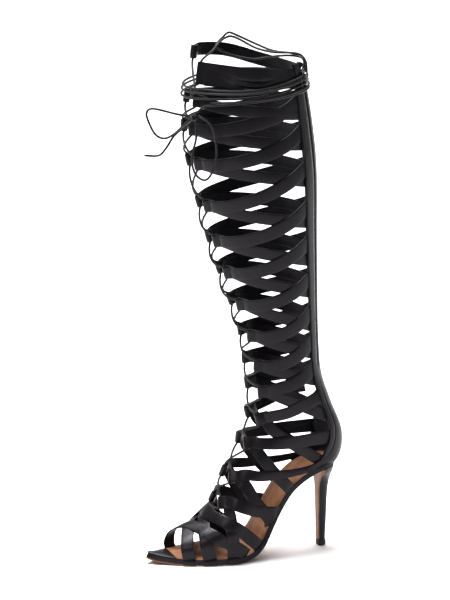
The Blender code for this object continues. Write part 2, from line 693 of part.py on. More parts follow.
def main():
    clear_scene()
    shoe = collection("lace_up_stiletto_sandal")
    cutters = collection("cutters")
    tan = material("tan_leather", (0.42, 0.22, 0.12), 0.45)
    black = material("black_leather", (0.012, 0.012, 0.014), 0.38)
    board = material("black_leather_board", (0.015, 0.014, 0.016), 0.42)
    lace = material("black_waxed_cord", (0.014, 0.014, 0.015), 0.5)
    metal = material("dark_nickel", (0.35, 0.35, 0.36), 0.3, 1.0)
    rubber = material("black_rubber", (0.01, 0.01, 0.01), 0.55)
    made = []

    def add(thing, look):
        thing.data.materials.append(look)
        shoe.objects.link(thing)
        made.append(thing)
        return thing

    under = OUTSOLE_THICKNESS + SEAT_GAP
    add(sole_layer("outsole", 0.0, OUTSOLE_THICKNESS), tan)
    add(sole_layer("insole_board", under, under + BOARD_THICKNESS), board)
    add(build_heel(), black)
    add(build_breast_strip(), tan)
    top_piece = [heel_ring(0.0, -0.0040, 0.0051, 0.0049), heel_ring(0.0045, -0.0038, 0.0049, 0.0049),
                 heel_ring(0.0067, -0.0036, 0.0047, 0.0048)]
    add(loft("heel_top_piece", top_piece), rubber)
    parts, cuts = build_upper_parts()
    upper = add(join_and_cut("upper", parts, cuts, cutters), black)
    apply_booleans(upper)
    for crossing in build_crossings(cutters):
        add(crossing, lace)
        if crossing.modifiers:
            apply_booleans(crossing)
    add(build_wraps(), lace)
    add(build_knot(), lace)
    for name, points in CORDS.items():
        smooth = [spline(points, k / 2) for k in range(2 * len(points) - 1)]
        add(cord(name, smooth), lace)
    add(build_teeth(), metal)
    add(zip_plate("zip_slider", -0.0042, 0.0042, 0.0036, 0.0026, (0.0070, 0.0070)), metal)
    add(zip_plate("zip_pull", -0.0145, -0.0020, 0.0068, 0.0012, (0.0052, 0.0040), PULL_HINGE), metal)


main()
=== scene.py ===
# A left knee-high lace-up stiletto sandal: the finished look round the fixed frame.
from math import atan2, cos, exp, hypot, pi, radians, sin

import bmesh
import bpy
from mathutils import Matrix, Vector, noise


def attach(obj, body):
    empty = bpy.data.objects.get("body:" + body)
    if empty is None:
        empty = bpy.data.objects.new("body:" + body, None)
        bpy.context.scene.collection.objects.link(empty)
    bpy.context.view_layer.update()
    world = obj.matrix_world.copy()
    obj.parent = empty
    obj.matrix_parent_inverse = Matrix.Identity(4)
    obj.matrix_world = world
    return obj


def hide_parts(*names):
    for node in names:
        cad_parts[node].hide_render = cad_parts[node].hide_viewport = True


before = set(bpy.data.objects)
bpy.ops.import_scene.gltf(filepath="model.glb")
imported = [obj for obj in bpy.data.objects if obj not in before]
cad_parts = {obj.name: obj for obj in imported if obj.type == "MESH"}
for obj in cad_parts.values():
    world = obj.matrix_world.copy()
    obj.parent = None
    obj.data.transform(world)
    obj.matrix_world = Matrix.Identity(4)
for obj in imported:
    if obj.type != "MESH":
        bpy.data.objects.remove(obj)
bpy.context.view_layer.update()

shoeBody = "shoe"
pullBody = "zip_pull_tab"

# sizes that every piece shares, in metres
shoe = {
    "length": 0.1912,
    "ballWidth": 0.0715,
    "heelHeight": 0.090,
    "shaftHeight": 0.427,
    "leather": 0.0012,
    "innerLift": 0.0001,  # how far the inner and the outer layer of straps lie over the form
    "outerLift": 0.0014,
    "tabDepth": 0.0092,
    "tabHeight": 0.0120,
    "tabLean": 40,  # degrees that the foot's tabs turn with their straps
    "leanFrom": 13.3,  # the station below which they start to lean, and the stations until they lean fully
    "leanOver": 3.6,
    "laceDiameter": 0.0023,
    "outsole": 0.0014,
    "boardFrom": 0.0015,  # from the tread up to the insole board
    "board": 0.0050,
    "counterTurn": 50,  # how far the counter reaches round the heel on each side, in degrees
    "counterShoulder": 11.5,  # stations: its inner edge draws in from here up to where the stay begins
    "counterTop": 13.0,
    "stayInnerTurn": 3,
    "zipTurn": 34,
    "zipLow": 13.2,  # stations of the zip's ends
    "zipHigh": 18.86,
}
bothSides = ((1, "Outer"), (-1, "Inner"))


def between(share):
    # a share kept from 0 to 1
    return min(max(share, 0.0), 1.0)


def eased(share):
    # a share from 0 to 1 with a soft start and end
    share = between(share)
    return share * share * (3 - 2 * share)


def hump(x, middle, width):
    # a soft rise of height 1
    return exp(-(((x - middle) / width) ** 2))


def squareTo(axis, vector):
    # the direction of what a vector has square to an axis
    return (vector - axis * vector.dot(axis)).normalized()


def clearSelection():
    bpy.ops.object.select_all(action="DESELECT")


view = {
    "place": (-1.2455, -3.3138, 1.1095),
    "forward": (0.31657, 0.91939, -0.23345),
    "lens": 143.0,
    "sensor": 24.0,
}


def addLooking(name, data, place, forward):
    # a camera or a lamp at its place, turned the way it looks
    made = bpy.data.objects.new(name, data)
    bpy.context.scene.collection.objects.link(made)
    made.location = place
    made.rotation_euler = Vector(forward).to_track_quat("-Z", "Y").to_euler()
    return made


def addCamera():
    data = bpy.data.cameras.new("camera")
    data.sensor_fit = "VERTICAL"
    data.sensor_height = view["sensor"]
    data.lens = view["lens"]
    data.clip_end = 50
    bpy.context.scene.camera = addLooking("camera", data, view["place"], view["forward"])


studio = {
    "floorColour": (0.93, 0.93, 0.93),
    "floorRoughness": 0.75,
    "floorReach": 9.0,
    "world": (1.0, 1.0, 1.0),
    "worldStrength": 0.14,
    # name, place, size, power and the point it faces
    "lamps": (
        ("key", (-1.9, -1.8, 2.2), 0.8, 24.0, (-0.05, 0, 0.26)),
        ("fill", (2.2, -1.8, 1.2), 1.4, 8.0, (-0.05, 0, 0.26)),
        ("top", (-0.7, 0.2, 2.6), 0.9, 124.0, (-0.05, 0, 0.2)),
        ("floorLight", (0.5, 2.3, 3.0), 3.0, 210.0, (0.5, 2.3, 0)),
    ),
}


def addStudio():
    world = bpy.data.worlds.new("studio")
    world.use_nodes = True
    setInputs(world.node_tree.nodes["Background"],
              {"Color": (*studio["world"], 1), "Strength": studio["worldStrength"]})
    bpy.context.scene.world = world
    bpy.context.scene.view_settings.view_transform = "Standard"
    for name, place, size, power, goal in studio["lamps"]:
        data = bpy.data.lights.new(name, "AREA")
        data.size = size
        data.energy = power
        addLooking(name, data, place, Vector(goal) - Vector(place))
    clearSelection()
    bpy.ops.mesh.primitive_plane_add(size=studio["floorReach"])
    floor = bpy.context.object
    floor.name = "floor"
    floor.data.materials.append(plainMaterial("floorPaper", studio["floorColour"], studio["floorRoughness"]))


def nodeMaterial(name):
    made = bpy.data.materials.new(name)
    made.use_nodes = True
    nodes, links = made.node_tree.nodes, made.node_tree.links
    return made, nodes, links, nodes["Principled BSDF"]


def setInputs(node, values):
    for key, value in values.items():
        node.inputs[key].default_value = value


def plainMaterial(name, colour, roughness):
    made, nodes, links, shader = nodeMaterial(name)
    setInputs(shader, {"Base Color": (*colour, 1), "Roughness": roughness, "Specular IOR Level": 0.2})
    return made


def addNode(nodes, kind, **settings):
    node = nodes.new(kind)
    for key, value in settings.items():
        if hasattr(node, key):
            setattr(node, key, value)
        else:
            node.inputs[key.replace("_", " ")].default_value = value
    return node


def addTones(nodes, links, height, look, stops=(0.0, 1.0)):
    # the look's dark and light colour, mixed by a height
    ramp = addNode(nodes, "ShaderNodeValToRGB")
    for element, stop, tone in zip(ramp.color_ramp.elements, stops, (look["dark"], look["light"])):
        element.position = stop
        element.color = (*tone, 1)
    links.new(height, ramp.inputs["Fac"])
    return ramp.outputs["Color"]


def addBump(nodes, links, height, strength, depth, below=None):
    node = addNode(nodes, "ShaderNodeBump", Strength=strength, Distance=depth)
    links.new(height, node.inputs["Height"])
    if below:
        links.new(below, node.inputs["Normal"])
    return node.outputs["Normal"]


def tonedNoise(nodes, links, shader, look, detail):
    # colours the shader by a soft noise and gives back the coordinates and the noise
    coords = addNode(nodes, "ShaderNodeTexCoord").outputs["Object"]
    pattern = addNode(nodes, "ShaderNodeTexNoise", Scale=look["toneScale"], Detail=detail, Roughness=0.6)
    links.new(coords, pattern.inputs["Vector"])
    tones = addTones(nodes, links, pattern.outputs["Fac"], look, (0.32, 0.70))
    links.new(tones, shader.inputs["Base Color"])
    return coords, pattern.outputs["Fac"]


def leatherMaterial(name):
    look = finishes[name]
    made, nodes, links, shader = nodeMaterial(name)
    coords, pattern = tonedNoise(nodes, links, shader, look, 4)
    rough = addNode(nodes, "ShaderNodeMapRange")
    spread = look["roughnessSpread"]
    setInputs(rough, {"To Min": look["roughness"] - spread, "To Max": look["roughness"] + spread})
    links.new(pattern, rough.inputs["Value"])
    links.new(rough.outputs["Result"], shader.inputs["Roughness"])
    # long soft pulls in the hide, then pebbled grain, then pores
    grain = addNode(nodes, "ShaderNodeTexVoronoi", feature="DISTANCE_TO_EDGE", Scale=look["grainScale"])
    pores = addNode(nodes, "ShaderNodeTexNoise", Scale=look["grainScale"] * 2.3, Detail=2.0)
    pulls = addNode(nodes, "ShaderNodeTexNoise", Scale=look["pullScale"], Detail=2.0)
    normal = None
    for node, output, strength, depth in (
        (pulls, "Fac", look["pull"], 0.0012),
        (grain, "Distance", look["grain"], 0.0004),
        (pores, "Fac", look["pore"], 0.0002),
    ):
        links.new(coords, node.inputs["Vector"])
        normal = addBump(nodes, links, node.outputs[output], strength, depth, normal)
    links.new(normal, shader.inputs["Normal"])
    setInputs(shader, {
        "Specular IOR Level": look["specular"],
        "Specular Tint": (*look.get("tint", (1.0, 1.0, 1.0)), 1),
        "Coat Weight": look["coat"],
        "Coat Roughness": look["coatRoughness"],
    })
    return made


def cordMaterial(name):
    # a round waxed braid: two waves crossing on the cord's own UVs; the colour follows the braid's height,
    # darker in its grooves and lighter on its ridges, which is painted shade
    look = finishes[name]
    made, nodes, links, shader = nodeMaterial(name)
    coords = addNode(nodes, "ShaderNodeTexCoord").outputs["UV"]
    both = addNode(nodes, "ShaderNodeMath", operation="MAXIMUM")
    for tilt, entry in zip((look["braidAngle"], -look["braidAngle"]), both.inputs):
        turned = addNode(nodes, "ShaderNodeMapping")
        turned.inputs["Rotation"].default_value = (0, 0, radians(tilt))
        links.new(coords, turned.inputs["Vector"])
        wave = addNode(nodes, "ShaderNodeTexWave", Scale=look["strands"], Distortion=0.4)
        links.new(turned.outputs["Vector"], wave.inputs["Vector"])
        links.new(wave.outputs["Fac"], entry)
    height = both.outputs["Value"]
    # painted shade: the braid's height darkens the colour in the grooves and lightens it on the ridges
    links.new(addTones(nodes, links, height, look), shader.inputs["Base Color"])
    links.new(addBump(nodes, links, height, look["bump"], 0.0002), shader.inputs["Normal"])
    setInputs(shader, {"Roughness": look["roughness"], "Specular IOR Level": look["specular"]})
    return made


def metalMaterial(name):
    look = finishes[name]
    made, nodes, links, shader = nodeMaterial(name)
    coords, pattern = tonedNoise(nodes, links, shader, look, 3)
    links.new(addBump(nodes, links, pattern, look["scratches"], 0.0001), shader.inputs["Normal"])
    setInputs(shader, {"Metallic": 1.0, "Roughness": look["roughness"]})
    return made


finishes = {
    "blackLeather": {
        "dark": (0.0030, 0.0027, 0.0033), "light": (0.0062, 0.0056, 0.0066), "toneScale": 38,
        "roughness": 0.35, "roughnessSpread": 0.06, "grainScale": 1150, "grain": 0.14,
        "pore": 0.10, "pullScale": 85, "pull": 0.20, "specular": 0.14, "coat": 0.025, "coatRoughness": 0.28,
        "tint": (1.0, 0.93, 1.06),
    },
    "cutEdge": {
        "dark": (0.006, 0.0055, 0.0058), "light": (0.017, 0.016, 0.016), "toneScale": 300,
        "roughness": 0.50, "roughnessSpread": 0.10, "grainScale": 2600, "grain": 0.25,
        "pore": 0.30, "pullScale": 300, "pull": 0.2, "specular": 0.35, "coat": 0.0, "coatRoughness": 0.5,
    },
    "tanLeather": {
        "dark": (0.165, 0.070, 0.034), "light": (0.30, 0.142, 0.075), "toneScale": 46,
        "roughness": 0.46, "roughnessSpread": 0.09, "grainScale": 1500, "grain": 0.10,
        "pore": 0.12, "pullScale": 60, "pull": 0.25, "specular": 0.15, "coat": 0.01, "coatRoughness": 0.35,
    },
    "topPieceRubber": {
        "dark": (0.006, 0.006, 0.006), "light": (0.013, 0.013, 0.013), "toneScale": 400,
        "roughness": 0.6, "roughnessSpread": 0.08, "grainScale": 3000, "grain": 0.2,
        "pore": 0.35, "pullScale": 200, "pull": 0.05, "specular": 0.3, "coat": 0.0, "coatRoughness": 0.5,
    },
    # the lace's dark and light tones are painted shade in the braid's grooves and a lighter tone on its
    # ridges
    "laceCord": {
        "dark": (0.0025, 0.0025, 0.003), "light": (0.009, 0.009, 0.010), "strands": 1.6, "braidAngle": 38,
        "bump": 0.45, "roughness": 0.45, "specular": 0.22,
    },
    "darkNickel": {
        "dark": (0.16, 0.16, 0.165), "light": (0.34, 0.34, 0.35), "toneScale": 900, "scratches": 0.12,
        "roughness": 0.27,
    },
}

blackLeather = leatherMaterial("blackLeather")
cutEdge = leatherMaterial("cutEdge")
tanLeather = leatherMaterial("tanLeather")
topPieceRubber = leatherMaterial("topPieceRubber")
laceCord = cordMaterial("laceCord")
darkNickel = metalMaterial("darkNickel")

addCamera()
addStudio()
print("camera, floor and light are set")


# the form that the straps lie on, as in the frame: a station counts rows from the toe,
# and a turn is 0 at the back or sole, 90 outside, 180 in front and 270 inside

soleRows = (  # x in % of the length, z in % of the heel height, outer and inner reach in % of the ball
    (-100.0, 7.3, 6.4, -5.0), (-99.4, 6.4, 9.2, -1.7), (-97.8, 5.1, 12.6, 2.0),
    (-94.1, 3.2, 18.9, 9.2), (-88.9, 1.7, 25.9, 18.9), (-82.6, 0.6, 35.0, 29.4),
    (-75.8, 0.0, 42.7, 37.8), (-68.0, 0.0, 49.0, 43.4), (-59.1, 0.0, 53.1, 46.9),
    (-51.3, 0.0, 52.4, 44.1), (-45.5, 2.4, 50.3, 40.6), (-40.3, 8.7, 47.6, 37.1),
    (-35.8, 19.4, 44.1, 33.6), (-31.4, 36.1, 40.6, 31.5), (-26.2, 55.6, 37.8, 30.1),
    (-20.4, 72.8, 36.4, 30.8), (-14.4, 83.6, 36.4, 32.9), (-7.8, 91.8, 37.1, 35.7),
    (-2.1, 96.0, 35.0, 35.0), (2.6, 98.4, 27.3, 27.3), (5.2, 99.7, 17.5, 17.5),
    (6.5, 100.3, 5.6, 5.6),
)
footRows = (  # low x and z, high x and z, middle y, outer and inner half width, wall
    (-99.4, 11.1, -99.6, 13.3, -6.3, 2.8, 2.8, 1.0), (-89.4, 9.6, -88.9, 25.0, -3.5, 21.0, 19.6, 1.0),
    (-81.1, 8.4, -80.3, 33.1, -3.5, 32.9, 32.2, 1.0), (-71.1, 7.8, -70.6, 41.8, -2.8, 43.4, 42.0, 1.0),
    (-59.1, 7.8, -61.0, 58.7, -2.8, 48.3, 47.6, 1.0), (-49.7, 10.6, -56.3, 83.6, -2.8, 46.9, 43.4, 1.0),
    (-41.8, 18.3, -52.0, 104.4, -2.8, 42.7, 39.2, 1.0), (-33.5, 42.2, -47.9, 123.3, -2.8, 37.8, 34.3, 1.0),
    (-23.5, 75.6, -45.0, 140.0, -2.1, 36.4, 34.3, 1.0), (-10.5, 96.1, -43.4, 155.6, -0.7, 34.8, 34.0, 0.95),
    (4.3, 106.7, -42.6, 170.0, 0.0, 36.5, 36.5, 0.45),
)
legRows = (  # back x and z, front x and z, half width, wall, with z in % of the shaft above the seat
    (8.9, 7.5, -43.0, 18.0, 39.0, 0.08), (2.7, 15.2, -43.3, 21.5, 40.5, 0.0),
    (-3.0, 23.0, -43.3, 26.2, 40.5, 0.0), (-4.9, 33.3, -45.3, 35.1, 44.5, 0.0),
    (-5.6, 45.0, -53.5, 45.9, 52.5, 0.0), (-6.2, 57.8, -62.5, 58.3, 62.0, 0.0),
    (-6.7, 71.9, -70.5, 72.1, 69.0, 0.0), (-9.3, 83.6, -75.0, 83.8, 69.0, 0.0),
    (-15.7, 100.0, -69.8, 100.0, 66.5, 0.0), (-21.3, 116.4, -65.0, 116.4, 64.0, 0.0),
)


def spline(points, t):
    # a point on the smooth curve through a list of tuples, t counted in points
    last = len(points) - 1
    t = min(max(t, 0.0), float(last))
    low = min(int(t), last - 1)
    f = t - low
    b, c = points[low], points[low + 1]
    a = points[low - 1] if low > 0 else [2 * p - q for p, q in zip(b, c)]
    d = points[low + 2] if low + 2 <= last else [2 * q - p for p, q in zip(b, c)]
    return [
        q + 0.5 * f * (r - p + f * (2 * p - 5 * q + 4 * r - s + f * (3 * (q - r) + s - p)))
        for p, q, r, s in zip(a, b, c, d)
    ]


def formRows():
    # the rows of the foot and the leg in metres
    driving = ("length", "ballWidth", "heelHeight", "shaftHeight")
    length, ball, heel, shaft = (shoe[size] / 100 for size in driving)
    seat = shoe["heelHeight"]
    rows = []
    for lowX, lowZ, highX, highZ, mid, outer, inner, wall in footRows:
        rows.append([lowX * length, lowZ * heel, highX * length, highZ * heel,
                     mid * ball, outer * ball, inner * ball, wall])
    for backX, backZ, frontX, frontZ, half, wall in legRows:
        rows.append([backX * length, seat + backZ * shaft, frontX * length, seat + frontZ * shaft,
                     0.0, half * ball, half * ball, wall])
    return rows


form = formRows()


def onForm(station, turn):
    backX, backZ, frontX, frontZ, mid, outer, inner, wall = spline(form, station)
    angle = radians(turn)
    side = sin(angle)
    reach = abs(side)
    if cos(angle) > 0:
        reach = wall + (1 - wall) * reach
    y = mid - (outer if side > 0 else -inner) * reach
    share = (1 - cos(angle)) / 2
    return Vector((backX + (frontX - backX) * share, y, backZ + (frontZ - backZ) * share))


def outward(station, turn):
    along = onForm(station + 0.02, turn) - onForm(station - 0.02, turn)
    around = onForm(station, turn + 1) - onForm(station, turn - 1)
    return along.cross(around).normalized()


def runLengths(points):
    # how far along a line each of its points lies
    lengths = [0.0]
    for near, far in zip(points, points[1:]):
        lengths.append(lengths[-1] + hypot(*(q - p for p, q in zip(near[:3], far[:3]))))
    return lengths


def alongForm(points, steps):
    # evenly spaced frames of a smooth line through stations and turns: point, normal and side
    fine = smoothLine([(*onForm(*p), *outward(*p)) for p in points], 12)
    lengths = runLengths(fine)
    frames = []
    low = 0
    for k in range(steps + 1):
        goal = lengths[-1] * k / steps
        while low < len(fine) - 2 and lengths[low + 1] < goal:
            low += 1
        share = (goal - lengths[low]) / (lengths[low + 1] - lengths[low])
        place = Vector(fine[low][:3]).lerp(Vector(fine[low + 1][:3]), share)
        normal = Vector(fine[low][3:]).lerp(Vector(fine[low + 1][3:]), share)
        before, after = fine[max(low - 4, 0)], fine[min(low + 5, len(fine) - 1)]
        direction = (Vector(after[:3]) - Vector(before[:3])).normalized()
        normal = squareTo(direction, normal)
        frames.append((place, normal, normal.cross(direction)))
    return frames


def onSide(points, side):
    # stations and turns of the outer side, carried over to the inner side where side is -1
    return [(station, turn if side > 0 else 360 - turn) for station, turn in points]


def behindFold(station, turn, distance):
    # the station and turn a distance behind a tab's fold; on the foot the tabs lean with their straps
    lean = radians(shoe["tabLean"]) * between((shoe["leanFrom"] - station) / shoe["leanOver"])
    arc = (onForm(station, turn) - onForm(station, turn - 1)).length
    run = (onForm(station + 0.1, turn) - onForm(station, turn)).length / 0.1
    return station + distance * sin(lean) / run, turn - distance * cos(lean) / arc


def tabFrame(station, turn, side):
    # origin, forward, outward and upward axes of a lace tab; side is 1 outside, -1 inside
    root, fold = onSide([behindFold(station, turn, shoe["tabDepth"]), (station, turn)], side)
    origin = onForm(*root)
    forward = (onForm(*fold) - origin).normalized()
    normal = squareTo(forward, outward(*root))
    return origin, forward, normal, forward.cross(normal) * side


def stayEdge(station):
    # the turn of the inner edge of the counter and, above it, of the stay
    share = eased((station - shoe["counterShoulder"]) / (shoe["counterTop"] - shoe["counterShoulder"]))
    return -shoe["counterTurn"] + (shoe["counterTurn"] + shoe["stayInnerTurn"]) * share


def soleRow(share):
    # x, z and the outer and inner reach at a share of the sole's length
    x, z, outer, inner = spline(soleRows, share * (len(soleRows) - 1))
    return (x * shoe["length"] / 100, max(z * shoe["heelHeight"] / 100, 0.0),
            outer * shoe["ballWidth"] / 100, inner * shoe["ballWidth"] / 100)


def soleLine(share):
    # the middle of the sole at a share of its length, its upward normal and its reaches
    x, z, outer, inner = soleRow(share)
    before, after = soleRow(max(share - 0.012, 0)), soleRow(min(share + 0.012, 1))
    lean = atan2(after[1] - before[1], after[0] - before[0])
    return Vector((x, 0, z)), Vector((-sin(lean), 0, cos(lean))), outer, inner


def soleShare(x):
    # the share of the sole's length at an x
    low, high = 0.0, 1.0
    for k in range(24):
        middle = (low + high) / 2
        if soleRow(middle)[0] < x:
            low = middle
        else:
            high = middle
    return low


def wrapGrid(name, across, along, place):
    # a flat grid laid where place(u, v) says
    clearSelection()
    bpy.ops.mesh.primitive_grid_add(x_subdivisions=across, y_subdivisions=along, size=1.0)
    piece = bpy.context.object
    piece.name = piece.data.name = name
    for vert in piece.data.vertices:
        vert.co = place(vert.co.x + 0.5, vert.co.y + 0.5)
    return piece


def applyModifier(piece, kind, **settings):
    bpy.context.view_layer.objects.active = piece
    modifier = piece.modifiers.new(kind.lower(), kind)
    for key, value in settings.items():
        setattr(modifier, key, value)
    bpy.ops.object.modifier_apply(modifier=modifier.name)


def pick(piece):
    # the one piece that the next operators work on
    clearSelection()
    piece.select_set(True)
    bpy.context.view_layer.objects.active = piece


def thicken(piece, thickness, offset, edge, segments=2):
    # a sheet gets its thickness and rounded edges, with the second material along the cut
    applyModifier(piece, "SOLIDIFY", thickness=thickness, offset=offset, material_offset_rim=1)
    applyModifier(piece, "BEVEL", width=edge, segments=segments, limit_method="ANGLE",
                  angle_limit=radians(45))


def closeUp(piece):
    # merge the seam of a rolled grid and close its ends
    pick(piece)
    bpy.ops.object.mode_set(mode="EDIT")
    bpy.ops.mesh.select_all(action="SELECT")
    bpy.ops.mesh.remove_doubles(threshold=0.00001)
    bpy.ops.mesh.fill_holes(sides=0)
    bpy.ops.mesh.normals_make_consistent(inside=False)
    bpy.ops.object.mode_set(mode="OBJECT")


def joinPieces(name, pieces):
    pick(pieces[0])
    for piece in pieces:
        piece.select_set(True)
    bpy.ops.object.join()
    pieces[0].name = pieces[0].data.name = name
    return pieces[0]


def finishPiece(piece, materials, body=shoeBody, replaces=(), angle=40):
    for material in materials:
        piece.data.materials.append(material)
    pick(piece)
    bpy.ops.object.shade_smooth_by_angle(angle=radians(angle))
    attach(piece, body)
    if replaces:
        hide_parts(*replaces)
    piece.select_set(False)


def finishUpper(piece, angle=40):
    finishPiece(piece, [blackLeather, cutEdge], replaces=["upper"], angle=angle)


def finishLace(piece, nodes=()):
    finishPiece(piece, [laceCord], replaces=nodes, angle=60)


def copyAlong(name, master, places):
    # one mesh with a copy of the master at each matrix
    bm = bmesh.new()
    for place in places:
        before = len(bm.verts)
        bm.from_mesh(master.data)
        bm.verts.ensure_lookup_table()
        bmesh.ops.transform(bm, matrix=place, verts=bm.verts[before:])
    mesh = bpy.data.meshes.new(name)
    bm.to_mesh(mesh)
    bm.free()
    bpy.data.objects.remove(master)
    made = bpy.data.objects.new(name, mesh)
    bpy.context.scene.collection.objects.link(made)
    return made


def axesAt(place, x, y, z):
    return Matrix((*zip(x, y, z, place), (0, 0, 0, 1)))


def laceTube(name, points, diameter=shoe["laceDiameter"], sides=12, pitch=0.0036, tip=0.6):
    # a round cord through a list of points, with its UVs counted in braid pitches
    points = [Vector(p) for p in points]
    last = len(points) - 1
    lengths = runLengths(points)
    directions = []
    for k in range(last + 1):
        directions.append((points[min(k + 1, last)] - points[max(k - 1, 0)]).normalized())
    cross = directions[0].orthogonal().normalized()
    crosses = []
    for direction in directions:
        cross = squareTo(direction, cross)
        crosses.append(cross)

    def place(u, v):
        k = round(v * last)
        radius = diameter / 2 * (tip if k in (0, last) else 1.0)
        other = directions[k].cross(crosses[k])
        angle = -2 * pi * u
        return points[k] + crosses[k] * radius * cos(angle) + other * radius * sin(angle)

    piece = wrapGrid(name, sides, last, place)
    for uv in piece.data.uv_layers[0].data:
        uv.uv = (uv.uv.x * 2.0, lengths[round(uv.uv.y * last)] / pitch)
    closeUp(piece)
    return piece


def smoothLine(points, parts):
    return [spline(points, k / parts) for k in range(parts * (len(points) - 1) + 1)]


def nodeName(name):
    # laceSlack stands for lace_slack
    return "".join("_" + letter.lower() if letter.isupper() else letter for letter in name)


# the bow, its loose end, the slack over the collar and the run that lies on it
cords = {
    "laceBowLoopBack": {
        "length": 0.141, "farEnd": "object", "lay": "hanging",
        "route": (
            (-0.1449, -0.0361, 0.4659), (-0.1345, -0.0435, 0.4575), (-0.1298, -0.0448, 0.4420),
            (-0.1292, -0.0452, 0.4250), (-0.1342, -0.0440, 0.4075), (-0.1405, -0.0420, 0.4018),
            (-0.1480, -0.0385, 0.4070), (-0.1515, -0.0370, 0.4180), (-0.1508, -0.0375, 0.4300),
            (-0.1478, -0.0388, 0.4440), (-0.1475, -0.0370, 0.4606),
        ),
    },
    "laceBowLoopFront": {
        "length": 0.1135, "farEnd": "object", "lay": "loose",
        "route": (
            (-0.1530, -0.0345, 0.4653), (-0.1660, -0.0340, 0.4680), (-0.1845, -0.0330, 0.4735),
            (-0.1930, -0.0320, 0.4745), (-0.1965, -0.0310, 0.4700), (-0.1940, -0.0300, 0.4615),
            (-0.1875, -0.0295, 0.4490), (-0.1790, -0.0300, 0.4440), (-0.1690, -0.0315, 0.4475),
            (-0.1526, -0.0336, 0.4618),
        ),
    },
    "laceFreeEnd": {
        "length": 0.0633, "farEnd": "bare", "lay": "loose",
        "route": (
            (-0.1512, -0.0372, 0.4609), (-0.1615, -0.0385, 0.4545), (-0.1710, -0.0385, 0.4470),
            (-0.1785, -0.0375, 0.4355), (-0.1860, -0.0365, 0.4285), (-0.2005, -0.0355, 0.4292),
        ),
    },
    "laceSlack": {
        "length": 0.251, "farEnd": "object", "lay": "loose",
        "route": (
            (-0.0285, -0.0262, 0.4951), (-0.0297, -0.0264, 0.5045), (-0.0318, -0.0236, 0.5148),
            (-0.0400, -0.0062, 0.5150), (-0.0508, 0.0160, 0.5106), (-0.0640, 0.0265, 0.5074),
            (-0.0813, 0.0310, 0.5104), (-0.0940, 0.0335, 0.5152), (-0.1012, 0.0362, 0.5205),
            (-0.0985, 0.0392, 0.5245), (-0.0930, 0.0402, 0.5292), (-0.0870, 0.0400, 0.5336),
            (-0.0790, 0.0370, 0.5308), (-0.0630, 0.0280, 0.5230), (-0.0485, 0.0150, 0.5170),
            (-0.0360, -0.0030, 0.5168), (-0.0276, -0.0140, 0.5142), (-0.0248, -0.0158, 0.5045),
            (-0.0236, -0.0155, 0.4950),
        ),
    },
    "laceCollarRun": {
        "length": 0.183, "farEnd": "object", "lay": "loose",
        "route": (
            (-0.1337, -0.0130, 0.5125), (-0.1335, -0.0129, 0.5158), (-0.1277, -0.0080, 0.5190),
            (-0.1181, 0.0060, 0.5198), (-0.1072, 0.0220, 0.5222), (-0.0987, 0.0335, 0.5256),
            (-0.0915, 0.0370, 0.5288), (-0.0853, 0.0372, 0.5300), (-0.0777, 0.0338, 0.5272),
            (-0.0650, 0.0235, 0.5198), (-0.0535, 0.0095, 0.5170), (-0.0460, -0.0035, 0.5178),
            (-0.0385, -0.0120, 0.5186), (-0.0315, -0.0178, 0.5172), (-0.0270, -0.0202, 0.5112),
            (-0.0258, -0.0208, 0.5030), (-0.0260, -0.0210, 0.4955),
        ),
    },
}


def addCords():
    for name, facts in cords.items():
        line = smoothLine(facts["route"], 6)
        piece = laceTube(name, line)
        finishLace(piece, [nodeName(name)])
        print(name, "is", round(runLengths(line)[-1], 4), "m long")
        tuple(facts["route"][0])


addCords()
print("free cords are in place")


tabs = (  # station, turn of the fold, then the back stations of the rising and the falling strap
    (18.43, 167, None, 18.22), (18.00, 170, 18.42, 17.68), (17.30, 169, 17.96, 16.92),
    (16.52, 170, 17.20, 16.22), (15.90, 170, 16.50, 15.52), (15.28, 168, 15.90, 14.88),
    (14.60, 164, 15.18, 14.16), (13.85, 159, 14.50, 13.52), (13.05, 150, 13.86, 12.78),
    (11.76, 144, 13.20, 11.50),
)
collarStraps = {  # the path's first place is the tab's fold; tab height and widths in mm
    "collarBandOuter": {
        "side": 1, "tab": 22.0, "widths": (23.0, 19.0),
        "path": ((18.81, 168), (18.80, 120), (18.765, 90), (18.74, 60), (18.75, 46)),
        # creases pressed by the turns of lace: share along, share across, reach along and across, height
        "creases": ((0.69, 0.78, 0.10, 0.050, 0.0016), (0.69, 0.66, 0.12, 0.065, -0.0013),
                    (0.69, 0.91, 0.13, 0.055, -0.0013), (0.90, 0.50, 0.04, 0.40, 0.0009)),
    },
    "collarBandInner": {
        "side": -1, "tab": 13.0, "widths": (13.0, 14.0), "creases": (),
        "path": ((19.04, 162), (19.03, 130), (18.97, 95), (18.83, 60), (18.74, 25), (18.73, -7)),
    },
}
shaftStraps = {
    "riseWidths": (12.5, 15.5),  # mm, at the tab and at the stay
    "fallWidths": (11.4, 12.5),
    "outerEnd": 46,  # the turn where they end outside, and how many degrees under the stay's edge inside
    "innerEnd": 4,
    "lateness": 0.85,  # how late a strap rises: at the lowest tab, more for each station above, and at most
    "latenessStep": 0.41,
    "latenessMost": 1.7,
}
footStraps = (  # layer, widths in mm, station and turn along the strap
    ("outer", 11.5, 14.0, ((9.70, 147), (11.1, 106), (11.9, 73), (12.2, 47))),
    ("outer", 11.5, 14.0, ((7.76, 155), (8.6, 119), (9.6, 92), (10.75, 46))),
    ("outer", 12.0, 5.0, ((5.70, 158), (6.6, 128), (7.55, 92), (8.7, 42), (9.6, 26))),
    ("outer", 12.0, 12.0, ((4.36, 161), (5.0, 126), (5.54, 105), (6.4, 76), (7.0, 48), (7.35, 5))),
    ("inner", 11.5, 11.5, ((9.70, 147), (9.57, 109), (9.62, 34))),
    ("inner", 11.5, 12.5, ((7.76, 155), (7.95, 110), (8.0, 70), (8.1, 5))),
    ("inner", 12.0, 13.5, ((5.70, 158), (6.25, 123), (6.55, 85), (6.95, 34), (6.95, 5))),
)
